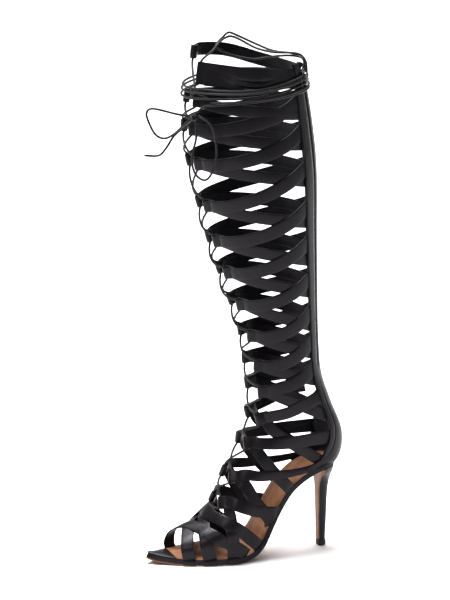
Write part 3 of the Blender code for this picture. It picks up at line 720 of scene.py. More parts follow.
# widths in mm, lift over the form, path, and where a strap climbs over another: turn, height and reach
toeStraps = {
    "slantFront": {
        "widths": (15.0, 14.0, 13.0, 12.5, 12.5), "lift": 0.0014, "weave": (),
        "path": ((1.85, 355), (1.85, 300), (2.05, 240), (2.55, 190), (2.92, 147), (3.27, 117), (3.71, 89),
                 (4.35, 59), (5.05, 5)),
    },
    "slantBack": {
        "widths": (13.0, 13.0, 14.0, 17.0, 11.5, 12.5, 13.0, 13.0), "lift": 0.0016,
        "weave": ((160, 0.0010, 30), (106, 0.0019, 26)),
        "path": ((3.0, 355), (3.2, 280), (3.6, 230), (3.76, 203), (3.62, 166), (3.96, 130), (4.65, 92),
                 (5.16, 68), (5.65, 44), (6.0, 5)),
    },
    "crossFront": {
        "widths": (13.0, 13.0), "lift": 0.0001, "weave": (),
        "path": ((2.15, 20), (2.04, 91), (2.25, 155), (2.7, 200), (3.4, 250), (4.3, 290), (5.2, 355)),
    },
    "crossBack": {
        "widths": (14.0, 12.5, 12.5, 12.5, 12.5), "lift": 0.0001, "weave": ((118, 0.0027, 30),),
        "path": ((3.16, 20), (2.99, 98), (3.2, 160), (3.55, 200), (4.1, 240), (4.9, 290), (5.9, 355)),
    },
    "sideOuter": {
        "widths": (13.5, 12.0), "lift": 0.0001, "weave": ((60, 0.0027, 19),),
        "path": ((4.27, 20), (4.28, 42), (4.32, 80), (4.45, 112), (4.72, 145)),
    },
    "sideInner": {
        "widths": (12.0, 12.0), "lift": 0.0001, "weave": (),
        "path": ((4.0, 338), (4.1, 310), (4.4, 270), (4.65, 210)),
    },
}
strapLook = {
    "columns": 6,
    "creasedColumns": 28,
    "rowSpacing": 0.0035,
    "crown": 0.00035,  # how far the middle stands over the edges
    "ripple": 0.00030,  # soft unevenness of worn leather
    "rippleSize": 0.016,
    "creaseSag": 0.16,
    "edgeRound": 0.00032,
    "outerStart": 0.0022,  # how far behind its tab's root each layer's strap starts
    "innerStart": -0.0015,
    "noseInset": 0.0030,  # the fold's round nose: how far back its middle lies, its radius and height
    "noseRadius": 0.0020,
    "noseHeight": 0.0021,
    "leafBack": 0.0045,  # how far the folded-under leaf reaches behind the tab's root
    "rootLap": 0.0006,
    "groove": 0.0010,  # how deep the stitches pull the strap in behind its tab
    "sinkBelow": 9.0,  # the station below which straps sink where they run in under the foot
    "sinkOver": 22,  # degrees from the middle of the sole
    "rootSink": 0.0030,
    "endReach": 0.0018,
}
boardLook = {
    "wrapFrom": 155,  # degrees from the top: past this an end wraps the board's edge
    "hiddenFrom": 170,  # and past this it runs straight into the board
    "wrapInset": 0.0003,
    # the wrapped rows: how far below the board's top, how far outside its edge, and how far they face aside
    "wrapRows": ((-0.0004, -0.0016, 0.35), (0.0006, -0.0003, 0.75), (0.0022, 0.0, 1.0), (0.0051, 0.0, 1.0)),
    "tuckInset": 0.0010,  # how far inside the edge a tucked strap stays
    "tuckTo": 0.93,  # share of the sole's length where tucking ends, and the share over which it fades
    "tuckFade": 0.06,
    "tuckShare": 0.92,
}


def strapSheet(name, rows, creases=()):
    # rows hold centre, outward normal, side and half width; the strap is domed, rippled and creased
    last = len(rows) - 1
    columns = strapLook["creasedColumns"] if creases else strapLook["columns"]

    def place(u, v):
        centre, normal, side, reach = rows[round(v * last)]
        across = 1 - 2 * u
        at = centre + side * reach * across
        rise = strapLook["crown"] * (1 - across * across)
        rise += strapLook["ripple"] * noise.noise(at / strapLook["rippleSize"])
        for alongAt, acrossAt, alongReach, acrossReach, height in creases:
            sagged = acrossAt - strapLook["creaseSag"] * ((v - alongAt) / alongReach) ** 2
            rise += height * hump(v, alongAt, alongReach) * hump(u, sagged, acrossReach)
        return at + normal * rise

    piece = wrapGrid(name, columns, last, place)
    thicken(piece, shoe["leather"], 1, strapLook["edgeRound"])
    return piece


def tabRows(station, turn, side, height):
    # the folded end of a strap, from under the root round the lace to the root again
    origin, forward, normal, up = tabFrame(station, turn, side)
    nose = shoe["tabDepth"] - strapLook["noseInset"]
    radius, level = strapLook["noseRadius"], strapLook["noseHeight"]
    leaf = strapLook["leafBack"]
    low = shoe["outerLift"] - strapLook["groove"]

    def row(ahead, rise, facing):
        return origin + forward * ahead + normal * rise, facing, forward.cross(normal), height / 2

    rows = [row(-leaf + (nose + leaf) * k / 4, level - radius, -normal) for k in range(4)]
    for k in range(9):
        angle = radians(180 - 22.5 * k)
        facing = forward * sin(angle) + normal * cos(angle)
        rows.append(row(nose + radius * sin(angle), level + radius * cos(angle), facing))
    # down to the stitched groove at the root
    for share in (0.84, 0.66, 0.46, 0.28, 0.14, 0.04):
        rows.append(row(nose * share, low + (level + radius - low) * share ** 0.8, normal))
    rows.append(row(-strapLook["rootLap"], low, normal))
    return rows


def edgeRows(row, turn):
    # a strap's last rows, over the edge of the insole board and down to the outsole
    centre, normal, side, half = row
    share = soleShare(centre.x)
    line, ahead, behind = soleLine(share), soleLine(max(share - 0.02, 0)), soleLine(min(share + 0.02, 1))
    middle, up = line[:2]
    way, reach = (-1, 2) if turn < 180 else (1, 3)  # the side, and where soleLine gives its reach
    along = (behind[0] - ahead[0] + Vector((0, way * (behind[reach] - ahead[reach]), 0))).normalized()
    along = along if along.dot(side) > 0 else -along
    out = squareTo(along, Vector((0, way, 0)))
    top = shoe["boardFrom"] + shoe["board"]
    rows = []
    for drop, grow, tilt in boardLook["wrapRows"]:
        at = middle + up * (top - drop) + Vector((0, way * (line[reach] - boardLook["wrapInset"] + grow), 0))
        rows.append((at, (out * tilt + up * (1 - tilt)).normalized(), along, half))
    return rows


def wrapsEdge(turn):
    return boardLook["wrapFrom"] < abs(turn - 180) < boardLook["hiddenFrom"]


def tuckIn(piece, untouched=()):
    # what would reach past the board's edge goes in between the board and the outsole
    top = shoe["boardFrom"] + shoe["board"]
    floor = shoe["boardFrom"] + shoe["board"] / 2
    for vert in piece.data.vertices:
        share = soleShare(vert.co.x)
        middle, up, outer, inner = soleLine(share)
        height = (vert.co - middle).dot(up)
        way = 1 if vert.co.y > 0 else -1
        amount = min((boardLook["tuckTo"] - share) / boardLook["tuckFade"], 1.0) * boardLook["tuckShare"]
        if height > top or amount < 0 or way in untouched:
            continue
        over = abs(vert.co.y) - (inner if way > 0 else outer) + boardLook["tuckInset"]
        vert.co.y -= way * max(over, 0.0) * amount
        vert.co += up * max(floor - height, 0.0) * amount


def boardEnd(rows, turn):
    # the rows past a strap's end: over the board's edge, straight on into the board, or none
    if wrapsEdge(turn):
        return edgeRows(rows[-1], turn)
    if abs(turn - 180) < boardLook["hiddenFrom"]:
        return []
    place, normal, side, half = rows[-1]
    step = (place - rows[-2][0]).normalized() * strapLook["endReach"]
    return [(place + step, normal, side, half)]


def formStrapRows(points, widths, lift, weave=()):
    # rows along a line on the form, with those past its ends; near the sole they sink
    length = runLengths([place for place, normal, side in alongForm(points, 8)])[-1]
    steps = max(8, round(length / strapLook["rowSpacing"]))
    rows = []
    for k, (place, normal, side) in enumerate(alongForm(points, steps)):
        spot = k / steps * (len(widths) - 1)
        low = min(int(spot), len(widths) - 2)
        half = (widths[low] + (widths[low + 1] - widths[low]) * (spot - low)) / 2000
        at, turn = spline(points, k / steps * (len(points) - 1))
        rise = lift + sum(height * hump(turn, top, wide) for top, height, wide in weave)
        if at < strapLook["sinkBelow"]:
            fromSole = 180 - abs(turn - 180)
            rise -= strapLook["rootSink"] * max(0.0, 1 - fromSole / strapLook["sinkOver"])
        rows.append((place + normal * rise, normal, side, half))
    return boardEnd(rows[::-1], points[0][1])[::-1] + rows + boardEnd(rows, points[-1][1])


tabPlaces = {1: [], -1: []}
stitches = {"size": (0.0019, 0.0004, 0.0004), "pitch": 0.0027, "set": []}


def addStitch(place, normal, along):
    stitches["set"].append(axesAt(place, along, normal.cross(along), normal))


def pacedAlong(points, pitch, carried):
    # a pitch apart along a line: the number of the stretch, the place and the way that the line runs
    for k, (a, b) in enumerate(zip(points, points[1:])):
        step = (b - a).length
        while carried <= step:
            yield k, a.lerp(b, carried / step), (b - a).normalized()
            carried += pitch
        carried -= step


def stitchLine(points, normals):
    for k, place, way in pacedAlong(points, stitches["pitch"], stitches["pitch"] / 2):
        addStitch(place, normals[k], way)


def tabStitches(station, turn, side, height):
    origin, forward, normal, up = tabFrame(station, turn, side)
    rise = shoe["outerLift"] - strapLook["groove"] + shoe["leather"] + strapLook["crown"] * 0.8
    middle = origin - forward * strapLook["rootLap"] / 2 + normal * rise
    count = round((height - 0.002) / stitches["pitch"])
    for k in range(count):
        addStitch(middle + up * (k - (count - 1) / 2) * stitches["pitch"], normal, up)


def strapStart(station, turn, layer):
    # where a layer's strap starts behind a tab's fold
    return behindFold(station, turn, shoe["tabDepth"] + strapLook[layer + "Start"])


def tabbedStrap(name, side, fold, path, widths, height=shoe["tabHeight"], creases=()):
    # a strap that ends in a folded and stitched tab round the lace; its path goes on from the tab's root
    tabPlaces[side].append((*fold, height))
    tabStitches(*fold, side, height)
    points = onSide([strapStart(*fold, "outer"), *path], side)
    rows = tabRows(*fold, side, height) + formStrapRows(points, widths, shoe["outerLift"])
    return strapSheet(name, rows, creases)


def innerStrap(name, side, fold, path, widths):
    # a strap of the layer below, which starts under its tab
    points = onSide([strapStart(*fold, "inner"), *path], side)
    return strapSheet(name, formStrapRows(points, widths, shoe["innerLift"]))


def shaftPath(start, goal, side, lateness):
    # the way from a tab's root to a goal station at the stay, without the root itself
    station, turn = start
    end = shaftStraps["outerEnd"] if side > 0 else -stayEdge(goal) - shaftStraps["innerEnd"]
    shares = [j / 6 for j in range(1, 7)]
    return [(station + (goal - station) * share ** lateness, turn + (end - turn) * share) for share in shares]


def addShaftStraps():
    for side, label in bothSides:
        rising, falling = [], []
        for k, (station, turn, rise, fall) in enumerate(tabs):
            fold = (station, turn)
            fallPath = shaftPath(strapStart(*fold, "inner"), fall, side, 1.0)
            if rise:
                lateness = shaftStraps["lateness"] + shaftStraps["latenessStep"] * (station - tabs[-1][0])
                lateness = min(lateness, shaftStraps["latenessMost"])
                risePath = shaftPath(strapStart(*fold, "outer"), rise, side, lateness)
                rising.append(tabbedStrap(f"rise{k}", side, fold, risePath, shaftStraps["riseWidths"]))
                falling.append(innerStrap(f"fall{k}", side, fold, fallPath, shaftStraps["fallWidths"]))
            else:
                falling.append(tabbedStrap(f"fall{k}", side, fold, fallPath, shaftStraps["fallWidths"]))
        finishUpper(joinPieces("shaftRisingStraps" + label, rising))
        finishUpper(joinPieces("shaftFallingStraps" + label, falling))


def addCollarBands():
    for name, band in collarStraps.items():
        fold, *path = band["path"]
        finishUpper(tabbedStrap(name, band["side"], fold, path, band["widths"], band["tab"] / 1000,
                                band["creases"]))


def addFootStraps():
    for side, label in bothSides:
        made = []
        for k, (layer, front, back, (fold, *path)) in enumerate(footStraps):
            makeStrap = tabbedStrap if layer == "outer" else innerStrap
            made.append(makeStrap(f"foot{k}", side, fold, path, (front, back)))
            tuckIn(made[-1])
        finishUpper(joinPieces("footStraps" + label, made))


def addToeStraps():
    for name, facts in toeStraps.items():
        rows = formStrapRows(facts["path"], facts["widths"], facts["lift"], facts["weave"])
        piece = strapSheet("toeStrap" + name[0].upper() + name[1:], rows)
        ends = (facts["path"][0][1], facts["path"][-1][1])
        tuckIn(piece, [-1 if turn < 180 else 1 for turn in ends if wrapsEdge(turn)])
        finishUpper(piece)


addCollarBands()
addShaftStraps()
addFootStraps()
addToeStraps()
print("straps are in place")


stay = {
    "rise": 0.0035,
    "thickness": 0.0030,
    "edge": 0.0004,
    "low": 8.9,  # stations
    "high": 18.92,
    "rows": 150,
    "plain": 28,  # the turn up to which its columns are shares of its back, and past which they are turns
    "grooveHalf": 3.4,  # degrees each side of the zip
    "grooveDepth": 0.0022,
    "topDrop": 0.14,  # stations that the top lies lower inside, from a turn on and over so many degrees
    "dropFrom": 38,
    "dropOver": 35,
    # the counter's seam ahead of its smooth back panel, the seam at its back, and its swell: a seam's turn
    # is at the station that it is taken from, and it leans back for each station above
    "seam": {"depth": 0.0006, "turn": 41.5, "from": 10, "lean": 1.2, "half": 1.3},
    "backSeam": {"depth": 0.0005, "turn": 9, "from": 11, "lean": 3.5, "half": 1.2,
                 "station": 11.6, "reach": 1.3},
    "swell": {"height": 0.0007, "station": 10.4, "reach": 0.7},
    "draw": 15,  # degrees that the counter's front edge runs back towards the heel, near the sole
    "drawFrom": 10.3,
    "drawOver": 1.2,
    # turn, low and high station of each line of stitches
    "stitchLines": ((48.3, 9.6, 18.86), (39.6, 13.3, 18.84), (28.6, 13.3, 18.80)),
}


def stayTurns():
    # columns across the stay: shares of its plain back, then turns, closer together at the zip's groove
    plain = [("share", k / 12) for k in range(12)]
    groove = [("turn", stay["plain"] + 0.6 * k) for k in range(23)]
    return plain + groove + [("turn", turn) for turn in (43.5, 45.5, 47.5, 49, 50)]


def stayDraw(station, turn):
    # a turn drawn back with the counter's front edge
    share = eased((stay["drawFrom"] - station) / stay["drawOver"])
    return turn - stay["draw"] * share * max(turn - 10, 0) / 40


def seamShare(seam, station, turn):
    return hump(turn, seam["turn"] - seam["lean"] * (station - seam["from"]), seam["half"])


def stayRise(station, turn):
    lowEnd = between((station - shoe["zipLow"]) / 0.06)
    highEnd = between((shoe["zipHigh"] + 0.03 - station) / 0.03)
    off = abs(turn - shoe["zipTurn"]) / stay["grooveHalf"]
    rise = stay["rise"] - stay["grooveDepth"] * lowEnd * highEnd / (1 + off ** 12)
    if station < shoe["counterTop"]:
        seam, back, swell = stay["seam"], stay["backSeam"], stay["swell"]
        rise -= seam["depth"] * seamShare(seam, station, turn) * min(1.0, shoe["counterTop"] - station)
        rise -= back["depth"] * seamShare(back, station, turn) * hump(station, back["station"], back["reach"])
        rise += swell["height"] * hump(station, swell["station"], swell["reach"])
    return rise


def onStay(station, turn, over=0.0):
    # a place on the stay's outside, and the way it faces
    spot = (station, turn % 360)
    return onForm(*spot) + outward(*spot) * (stayRise(station, turn) + over), outward(*spot)


def addStay():
    turns = stayTurns()
    last = len(turns) - 1

    def place(u, v):
        station = stay["low"] + (stay["high"] - stay["low"]) * v
        kind, at = turns[last - round(u * last)]
        turn = stayDraw(station, at)
        if kind == "share":
            edge = -stayDraw(station, -stayEdge(station))
            turn = edge + (stayDraw(station, stay["plain"]) - edge) * at
        inward = max(0.0, (stay["dropFrom"] - turn) / stay["dropOver"]) ** 1.5
        return onStay(station - stay["topDrop"] * hump(v, 1.0, 0.02) * inward, turn)[0]

    piece = wrapGrid("backStayAndCounter", last, stay["rows"], place)
    thicken(piece, stay["thickness"], -1, stay["edge"])
    tuckIn(piece)
    finishUpper(piece, angle=50)
    for turn, low, high in stay["stitchLines"]:
        stations = [low + (high - low) * k / 160 for k in range(161)]
        places = [onStay(station, stayDraw(station, turn), 0.00005) for station in stations]
        stitchLine([place for place, normal in places], [normal for place, normal in places])


zipLook = {
    "pitch": 0.0014,
    "tooth": (0.0017, 0.0008, 0.0010),
    "toothEdge": 0.00018,
    "lift": 0.0021,
    "aside": 0.00055,  # how far a tooth stands to its own side
    "slider": 18.80,  # station
    # thickness, height of the underside over the form, and edge of each plate of the slider
    "plate": (0.0012, 0.0040, 0.00035),
    "back": (0.0008, 0.0029, 0.0002),
    "bridge": (0.0011, 0.0051, 0.0004),
    "loop": {"up": -0.0026, "rise": 0.0060, "half": 0.0016, "high": 0.0017, "diameter": 0.0009},
}
pullLook = {
    "rise": 0.0068, "thickness": 0.0012, "edge": 0.0004,
    "top": -0.0044, "topRadius": 0.0024,
    "waist": -0.0090, "waistHalf": 0.0020,
    "end": -0.0118, "endHalf": 0.0028, "endRound": 0.0027,
    "holes": ((-0.0042, 0.0011), (-0.0118, 0.0012)),  # place and radius
}


def zipAxes(station):
    # place and axes of the zip at a station: point, outward, upward and across
    place = onForm(station, shoe["zipTurn"])
    up = (place - onForm(station - 0.05, shoe["zipTurn"])).normalized()
    normal = squareTo(up, outward(station, shoe["zipTurn"]))
    return place, normal, up, normal.cross(up)


def addZipTeeth():
    clearSelection()
    bpy.ops.mesh.primitive_cube_add(size=1.0)
    tooth = bpy.context.object
    for vert in tooth.data.vertices:
        vert.co = Vector(share * size for share, size in zip(vert.co, zipLook["tooth"]))
    applyModifier(tooth, "BEVEL", width=zipLook["toothEdge"], segments=1)
    low, high = shoe["zipLow"] + 0.03, shoe["zipHigh"] - 0.03
    stations = [low + (high - low) * k / 400 for k in range(401)]
    points = [onForm(station, shoe["zipTurn"]) for station in stations]
    places = []
    for count, (k, at, way) in enumerate(pacedAlong(points, zipLook["pitch"] / 2, 0.0)):
        normal = outward(stations[k], shoe["zipTurn"])
        around = way.cross(normal)
        aside = -zipLook["aside"] if count % 2 else zipLook["aside"]
        places.append(axesAt(at + normal * zipLook["lift"] + around * aside, around, way, normal))
    piece = copyAlong("zipTeeth", tooth, places)
    finishPiece(piece, [darkNickel], replaces=["zip_teeth"])


def slab(name, outline, thickness, place, edge):
    # a plate from an outline of (across, up) points, extruded and rounded, then put on its axes
    clearSelection()
    bpy.ops.mesh.primitive_circle_add(vertices=len(outline), radius=1.0, fill_type="NGON")
    piece = bpy.context.object
    piece.name = piece.data.name = name
    for vert, (x, y) in zip(piece.data.vertices, outline):
        vert.co = (x, y, 0.0)
    bpy.ops.object.mode_set(mode="EDIT")
    bpy.ops.mesh.select_all(action="SELECT")
    bpy.ops.mesh.extrude_region_move(TRANSFORM_OT_translate={"value": (0, 0, thickness)})
    bpy.ops.mesh.select_all(action="SELECT")
    bpy.ops.mesh.normals_make_consistent(inside=False)
    bpy.ops.object.mode_set(mode="OBJECT")
    applyModifier(piece, "BEVEL", width=edge, segments=3, limit_method="ANGLE", angle_limit=radians(50))
    piece.data.transform(place)
    return piece


def addSlider():
    place, normal, up, across = zipAxes(zipLook["slider"])

    def plate(name, outline, part):
        thickness, rise, edge = zipLook[part]
        return slab(name, outline, thickness, axesAt(place + normal * rise, across, up, normal), edge)

    shield = [(-0.0036, 0.0030), (-0.0020, 0.0042), (0.0020, 0.0042), (0.0036, 0.0030),
              (0.0026, -0.0036), (0.0012, -0.0042), (-0.0012, -0.0042), (-0.0026, -0.0036)]
    smaller = [(x * 0.8, y * 0.9) for x, y in shield]
    bar = [(-0.0009, 0.0022), (0.0009, 0.0022), (0.0009, -0.0034), (-0.0009, -0.0034)]
    plates = [plate("sliderPlate", shield, "plate"), plate("sliderBack", smaller, "back"),
              plate("sliderBridge", bar, "bridge")]
    loop = zipLook["loop"]
    arch = []
    for degrees in range(-110, 111, 20):
        angle = radians(degrees)
        arch.append(place + up * (loop["up"] + loop["half"] * sin(angle))
                    + normal * (loop["rise"] + loop["high"] * cos(angle)))
    piece = joinPieces("zipSlider", plates + [laceTube("sliderLoop", arch, loop["diameter"], 8)])
    finishPiece(piece, [darkNickel], replaces=["zip_slider"])


def addPull():
    # a plate with a round head, a narrow waist and a rounded end, drilled at both ends
    place, normal, up, across = zipAxes(zipLook["slider"])
    axes = axesAt(place + normal * pullLook["rise"], across, up, normal)
    turns = [radians(degrees) for degrees in range(0, 181, 20)]
    head = [(pullLook["topRadius"] * cos(a), pullLook["top"] + pullLook["topRadius"] * sin(a)) for a in turns]
    end = [(-pullLook["endHalf"] * cos(a), pullLook["end"] - pullLook["endRound"] * sin(a)) for a in turns]
    waist = [(side * pullLook["waistHalf"], pullLook["waist"]) for side in (-1, 1)]
    outline = head + waist[:1] + end + waist[1:]
    piece = slab("zipPull", outline, pullLook["thickness"], axes, pullLook["edge"])
    for middle, radius in pullLook["holes"]:
        clearSelection()
        bpy.ops.mesh.primitive_cylinder_add(vertices=20, radius=radius, depth=0.006)
        drill = bpy.context.object
        drill.data.transform(axes @ Matrix.Translation((0, middle, 0)))
        applyModifier(piece, "BOOLEAN", operation="DIFFERENCE", object=drill)
        bpy.data.objects.remove(drill)
    finishPiece(piece, [darkNickel], body=pullBody, replaces=["zip_pull"])


addStay()
addZipTeeth()
addSlider()
addPull()
print("counter, stay and zip are in place")


def soleSheet(name, start, end, rise, inset, dome=0.0, columns=10, rows=110):
    # a sheet over part of the sole's length, some way in from its edge
    def place(u, v):
        share = start + (end - start) * v
        middle, normal, outer, inner = soleLine(share)
        cut = inset(share) if callable(inset) else inset
        y = inner - cut - (outer + inner - 2 * cut) * u
        lift = rise + dome * (1 - (2 * u - 1) ** 2) * (1 - (2 * v - 1) ** 4)
        return middle + normal * lift + Vector((0, y, 0))

    return wrapGrid(name, columns, rows, place)


soleLook = {
    "toeInsole": (0.012, 0.215),  # shares of the sole's length
    "sock": (0.20, 0.985),
    "waist": 0.46,  # where the outsole has drawn in under the board, and how long it takes to
    "waistOver": 0.06,
    "waistInset": 0.0034,
    "outsoleInset": 0.0002,
}


def outsoleInset(share):
    drawn = between((share - soleLook["waist"] + soleLook["waistOver"]) / soleLook["waistOver"])
    return soleLook["waistInset"] * drawn + soleLook["outsoleInset"]


def addSole():
    top = shoe["boardFrom"] + shoe["board"]
    piece = soleSheet("leatherOutsole", 0, 1, 0.0, outsoleInset)
    thicken(piece, shoe["outsole"], 1, 0.0005)
    finishPiece(piece, [tanLeather], replaces=["outsole"])
    piece = soleSheet("insoleBoard", 0, 1, shoe["boardFrom"], 0.0)
    thicken(piece, shoe["board"], 1, 0.0013, 4)
    finishPiece(piece, [blackLeather], replaces=["insole_board"])
    piece = soleSheet("toeInsole", *soleLook["toeInsole"], top - 0.0006, 0.0009, 0.0013)
    thicken(piece, 0.0013, 1, 0.0005)
    finishPiece(piece, [blackLeather])
    piece = soleSheet("tanSock", *soleLook["sock"], top - 0.0005, 0.0016, 0.0006)
    thicken(piece, 0.0009, 1, 0.0003)
    finishPiece(piece, [tanLeather])


heelRows = (  # height, front x, back x and half width in mm
    (6.8, -3.5, 4.6, 4.7), (30.0, -3.8, 5.6, 5.1), (56.0, -4.3, 6.6, 6.2), (68.0, -4.5, 7.9, 8.4),
    (76.0, -4.8, 9.4, 13.0), (82.0, -5.2, 10.9, 19.0), (88.0, -5.8, 11.6, 23.8),
)
heelLook = {
    "frontShare": 0.30,  # the flat front's share of the way round, and of the width
    "frontWidth": 0.94,
    "corner": 0.5,  # mm that the front's corners are rounded back
    "stripShare": 0.30,
    "stripTop": 0.06,  # how much wider the strip grows at its top
    "lip": 0.00035,  # how far the top piece swells halfway up
    "topPieceHeight": 0.0067,
    "topPieceGrow": 0.0002,
}


def heelPoint(t, around, grow=0.0):
    # a flat front with small round corners, and a round back; around is 0 to 1 from the middle of the front
    z, front, back, half = spline(heelRows, t)
    share = abs(around * 2 - 1)  # 1 at the middle of the front, 0 at the back
    way = 1 if around < 0.5 else -1
    flat, corner = heelLook["frontShare"], heelLook["corner"]
    grow *= 1000
    if share > 1 - flat:
        y = half * heelLook["frontWidth"] * (1 - share) / flat
        x = front - grow + corner * (y / half) ** 6
        y += grow * (1 - share) / flat
    else:
        angle = pi / 2 * share / (1 - flat)
        x = front + corner + (back - front - corner + grow) * cos(angle)
        y = (half + grow) * sin(angle) ** 0.9
    return Vector((x / 1000, way * y / 1000, z / 1000))


def addHeel():
    last = len(heelRows) - 1

    def blockPlace(u, v):
        at = heelPoint(v * last, u % 1.0)
        if v > 0.999:
            at.z = soleLine(soleShare(at.x))[0].z + 0.0004
        return at

    piece = wrapGrid("heelBlock", 56, 60, blockPlace)
    closeUp(piece)
    finishPiece(piece, [blackLeather], replaces=["heel"])

    def stripPlace(u, v):
        wide = heelLook["stripShare"] + heelLook["stripTop"] * v ** 5
        return heelPoint(0.02 + (last - 0.35) * v, wide * (u - 0.5) % 1.0, 0.0001)

    piece = wrapGrid("heelBreastStrip", 24, 60, stripPlace)
    thicken(piece, 0.0006, -1, 0.0002)
    finishPiece(piece, [tanLeather], replaces=["heel_breast_strip"])

    def topPiecePlace(u, v):
        at = heelPoint(0.0, u % 1.0)
        out = Vector((at.x, at.y, 0)).normalized()
        at.z = heelLook["topPieceHeight"] * v
        return at + out * (heelLook["lip"] * (1 - 4 * (v - 0.5) ** 2) + heelLook["topPieceGrow"])

    piece = wrapGrid("heelTopPiece", 56, 6, topPiecePlace)
    closeUp(piece)
    applyModifier(piece, "BEVEL", width=0.0003, segments=2, limit_method="ANGLE", angle_limit=radians(50))
    finishPiece(piece, [topPieceRubber], replaces=["heel_top_piece"])


addSole()
addHeel()
print("sole and heel are in place")


laceLook = {
    "runOut": 0.3,  # share of a crossing's length that it takes to leave the tunnel's direction
    "bow": 0.0012,
    "over": 0.0013,  # how much higher the upper lace lies, and the share by which the lower one lies lower
    "under": -0.25,
    # how far each crossing of the first and the second lace hangs loose, from the top
    "loose": {
        1: (0, 0.0006, 0.0002, 0.0022, 0.0004, 0.0030, 0.0008, 0.0036, 0.0012, 0.0034, 0.0012, 0.0026,
            0.0010, 0.0008),
        -1: (0, 0.0002, 0.0014, 0.0003, 0.0026, 0.0006, 0.0034, 0.0010, 0.0038, 0.0012, 0.0030, 0.0008,
             0.0020, 0.0006),
    },
    "barReach": 0.006,
    "barBow": 0.0022,
}


def tunnelMouth(station, turn, height, side, end):
    # where a lace leaves a tab's tunnel, the way it runs out there, and the outward way; end is 1 at the top
    origin, forward, normal, up = tabFrame(station, turn, side)
    middle = origin + forward * (shoe["tabDepth"] - strapLook["noseInset"]) + normal * strapLook["noseHeight"]
    return middle + up * end * (height / 2), up * end, normal


def laceAcross(start, goal, reach, bow, t):
    # a place between two tunnel mouths on a lace that leaves both the way the tunnels run
    (near, nearWay, nearNormal), (far, farWay, farNormal) = start, goal
    leaving = near.lerp(near + nearWay * reach, t)
    coming = (far + farWay * reach).lerp(far, t)
    return leaving.lerp(coming, eased(t)) + (nearNormal + farNormal) * bow * sin(pi * t)


def lacePoints(places, sides):
    # one lace down the front: through each tunnel, then across to the next tab on the other side
    line = []
    for k, (place, side) in enumerate(zip(places, sides)):
        top, bottom = tunnelMouth(*place, side, 1), tunnelMouth(*place, side, -1)
        line += [top[0].lerp(bottom[0], share) for share in (0.0, 0.25, 0.5, 0.75, 1.0)]
        if k + 1 == len(places):
            break
        goal = tunnelMouth(*places[k + 1], sides[k + 1], 1)
        # the lace that starts outside lies over the other one, turn about
        over = laceLook["over"] * (1 if (k % 2 == 0) == (sides[0] > 0) else laceLook["under"])
        reach = (goal[0] - bottom[0]).length * laceLook["runOut"]
        for t in (j / 10 for j in range(1, 10)):
            loose = laceLook["loose"][sides[0]][k] * sin(pi * t) ** 1.4
            hang = bottom[2] + goal[2] + Vector((0, side * 0.6, -1.1))
            line.append(laceAcross(bottom, goal, reach, laceLook["bow"] + over, t) + hang * loose)
    return line


def addLaces():
    order = {side: sorted(tabPlaces[side], key=lambda place: -place[0]) for side in (1, -1)}
    pieces = []
    for first in (1, -1):
        sides = [first if k % 2 == 0 else -first for k in range(len(order[1]))]
        places = [order[side][k] for k, side in enumerate(sides)]
        pieces.append(laceTube(f"lace{first}", lacePoints(places, sides)))
    start, goal = (tunnelMouth(*order[side][-1], side, -1) for side in (1, -1))
    bar = [laceAcross(start, goal, laceLook["barReach"], laceLook["barBow"], k / 12) for k in range(13)]
    pieces.append(laceTube("toeBar", bar))
    nodes = [f"lace_crossing_{k:02d}" for k in range(14)] + ["lace_toe_bar"]
    finishLace(joinPieces("laceCrossings", pieces), nodes)


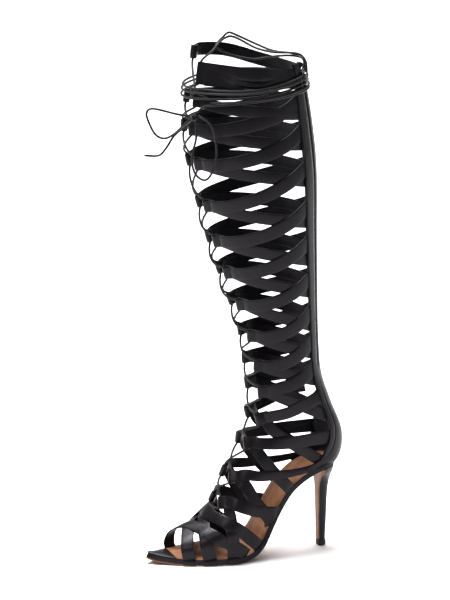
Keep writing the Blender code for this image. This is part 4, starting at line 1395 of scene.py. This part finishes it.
wraps = {
    "lead": ((-0.1470, -0.0318, 0.4671), (-0.1430, -0.0305, 0.4688)),
    "startTurn": 146,
    "step": 7.5,
    "low": 18.36,
    "lift": 0.0056,  # over the form, and how much more in front
    "frontLift": 0.0024,
    "backRise": 0.13,
    "spread": 0.117,  # stations per turn round the shaft
    "gather": 0.30,  # share of the spread lost in the middle of the outer side
    "gatherTurn": 98,  # where that is, and how far it reaches in degrees
    "gatherReach": 42,
    "gatherAt": 0.12,  # stations over the lowest turn to which they gather
    "sag": 0.05,
    "waver": 0.012,
    # each strand's start in degrees after the first turn, degrees round, stations above, metres over, and
    # phase of its waver
    "main": (0, 900, 0.0, 0.0, 0),
    "second": (6, 560, 0.058, 0.0005, 232),
}


def wrapLine(late, degrees, above, over, phase):
    line = []
    for k in range(int(degrees / wraps["step"]) + 1):
        turned = k * wraps["step"] + late
        turn = wraps["startTurn"] - turned
        share = (1 - cos(radians(turn))) / 2
        gathered = hump(turn % 360, wraps["gatherTurn"], wraps["gatherReach"])
        climb = wraps["spread"] * turned / 360 + above - wraps["gatherAt"]
        station = wraps["low"] + wraps["backRise"] * (1 - share ** 3) + wraps["gatherAt"]
        station += climb * (1 - wraps["gather"] * gathered) - wraps["sag"] * gathered
        station += wraps["waver"] * sin(radians(turned * 0.7 + phase))
        rise = wraps["lift"] + wraps["frontLift"] * share ** 4 + over * (1 + 3 * gathered)
        line.append(onForm(station, turn % 360) + outward(station, turn % 360) * rise)
    return line


def addWraps():
    main = [*wraps["lead"], *(tuple(place) for place in wrapLine(*wraps["main"]))]
    pieces = [laceTube("wrapMain", smoothLine(main, 2)), laceTube("wrapSecond", wrapLine(*wraps["second"]))]
    finishLace(joinPieces("laceWraps", pieces), ["lace_wraps"])


knot = {"place": (-0.1490, -0.0345, 0.4640), "size": 0.0024, "spread": 2.2, "flat": (0.85, 0.72, 0.95)}


def addKnot():
    # a tight overhand knot
    line = []
    for k in range(65):
        a = 2 * pi * k / 64
        x = (cos(a) - 2 * cos(2 * a)) / knot["spread"]
        y = -sin(3 * a)
        z = (sin(a) + 2 * sin(2 * a)) / knot["spread"]
        offset = Vector(share * flat for share, flat in zip((x, y, z), knot["flat"]))
        line.append(Vector(knot["place"]) + offset * knot["size"])
    finishLace(laceTube("laceKnot", line, tip=1.0), ["lace_knot"])


def addStitches():
    clearSelection()
    bpy.ops.mesh.primitive_uv_sphere_add(segments=6, ring_count=5, radius=0.5)
    bead = bpy.context.object
    for vert in bead.data.vertices:
        vert.co = Vector(share * size for share, size in zip(vert.co, stitches["size"]))
    finishLace(copyAlong("stitches", bead, stitches["set"]))


addLaces()
addWraps()
addKnot()
addStitches()
print("laces and stitches are in place")
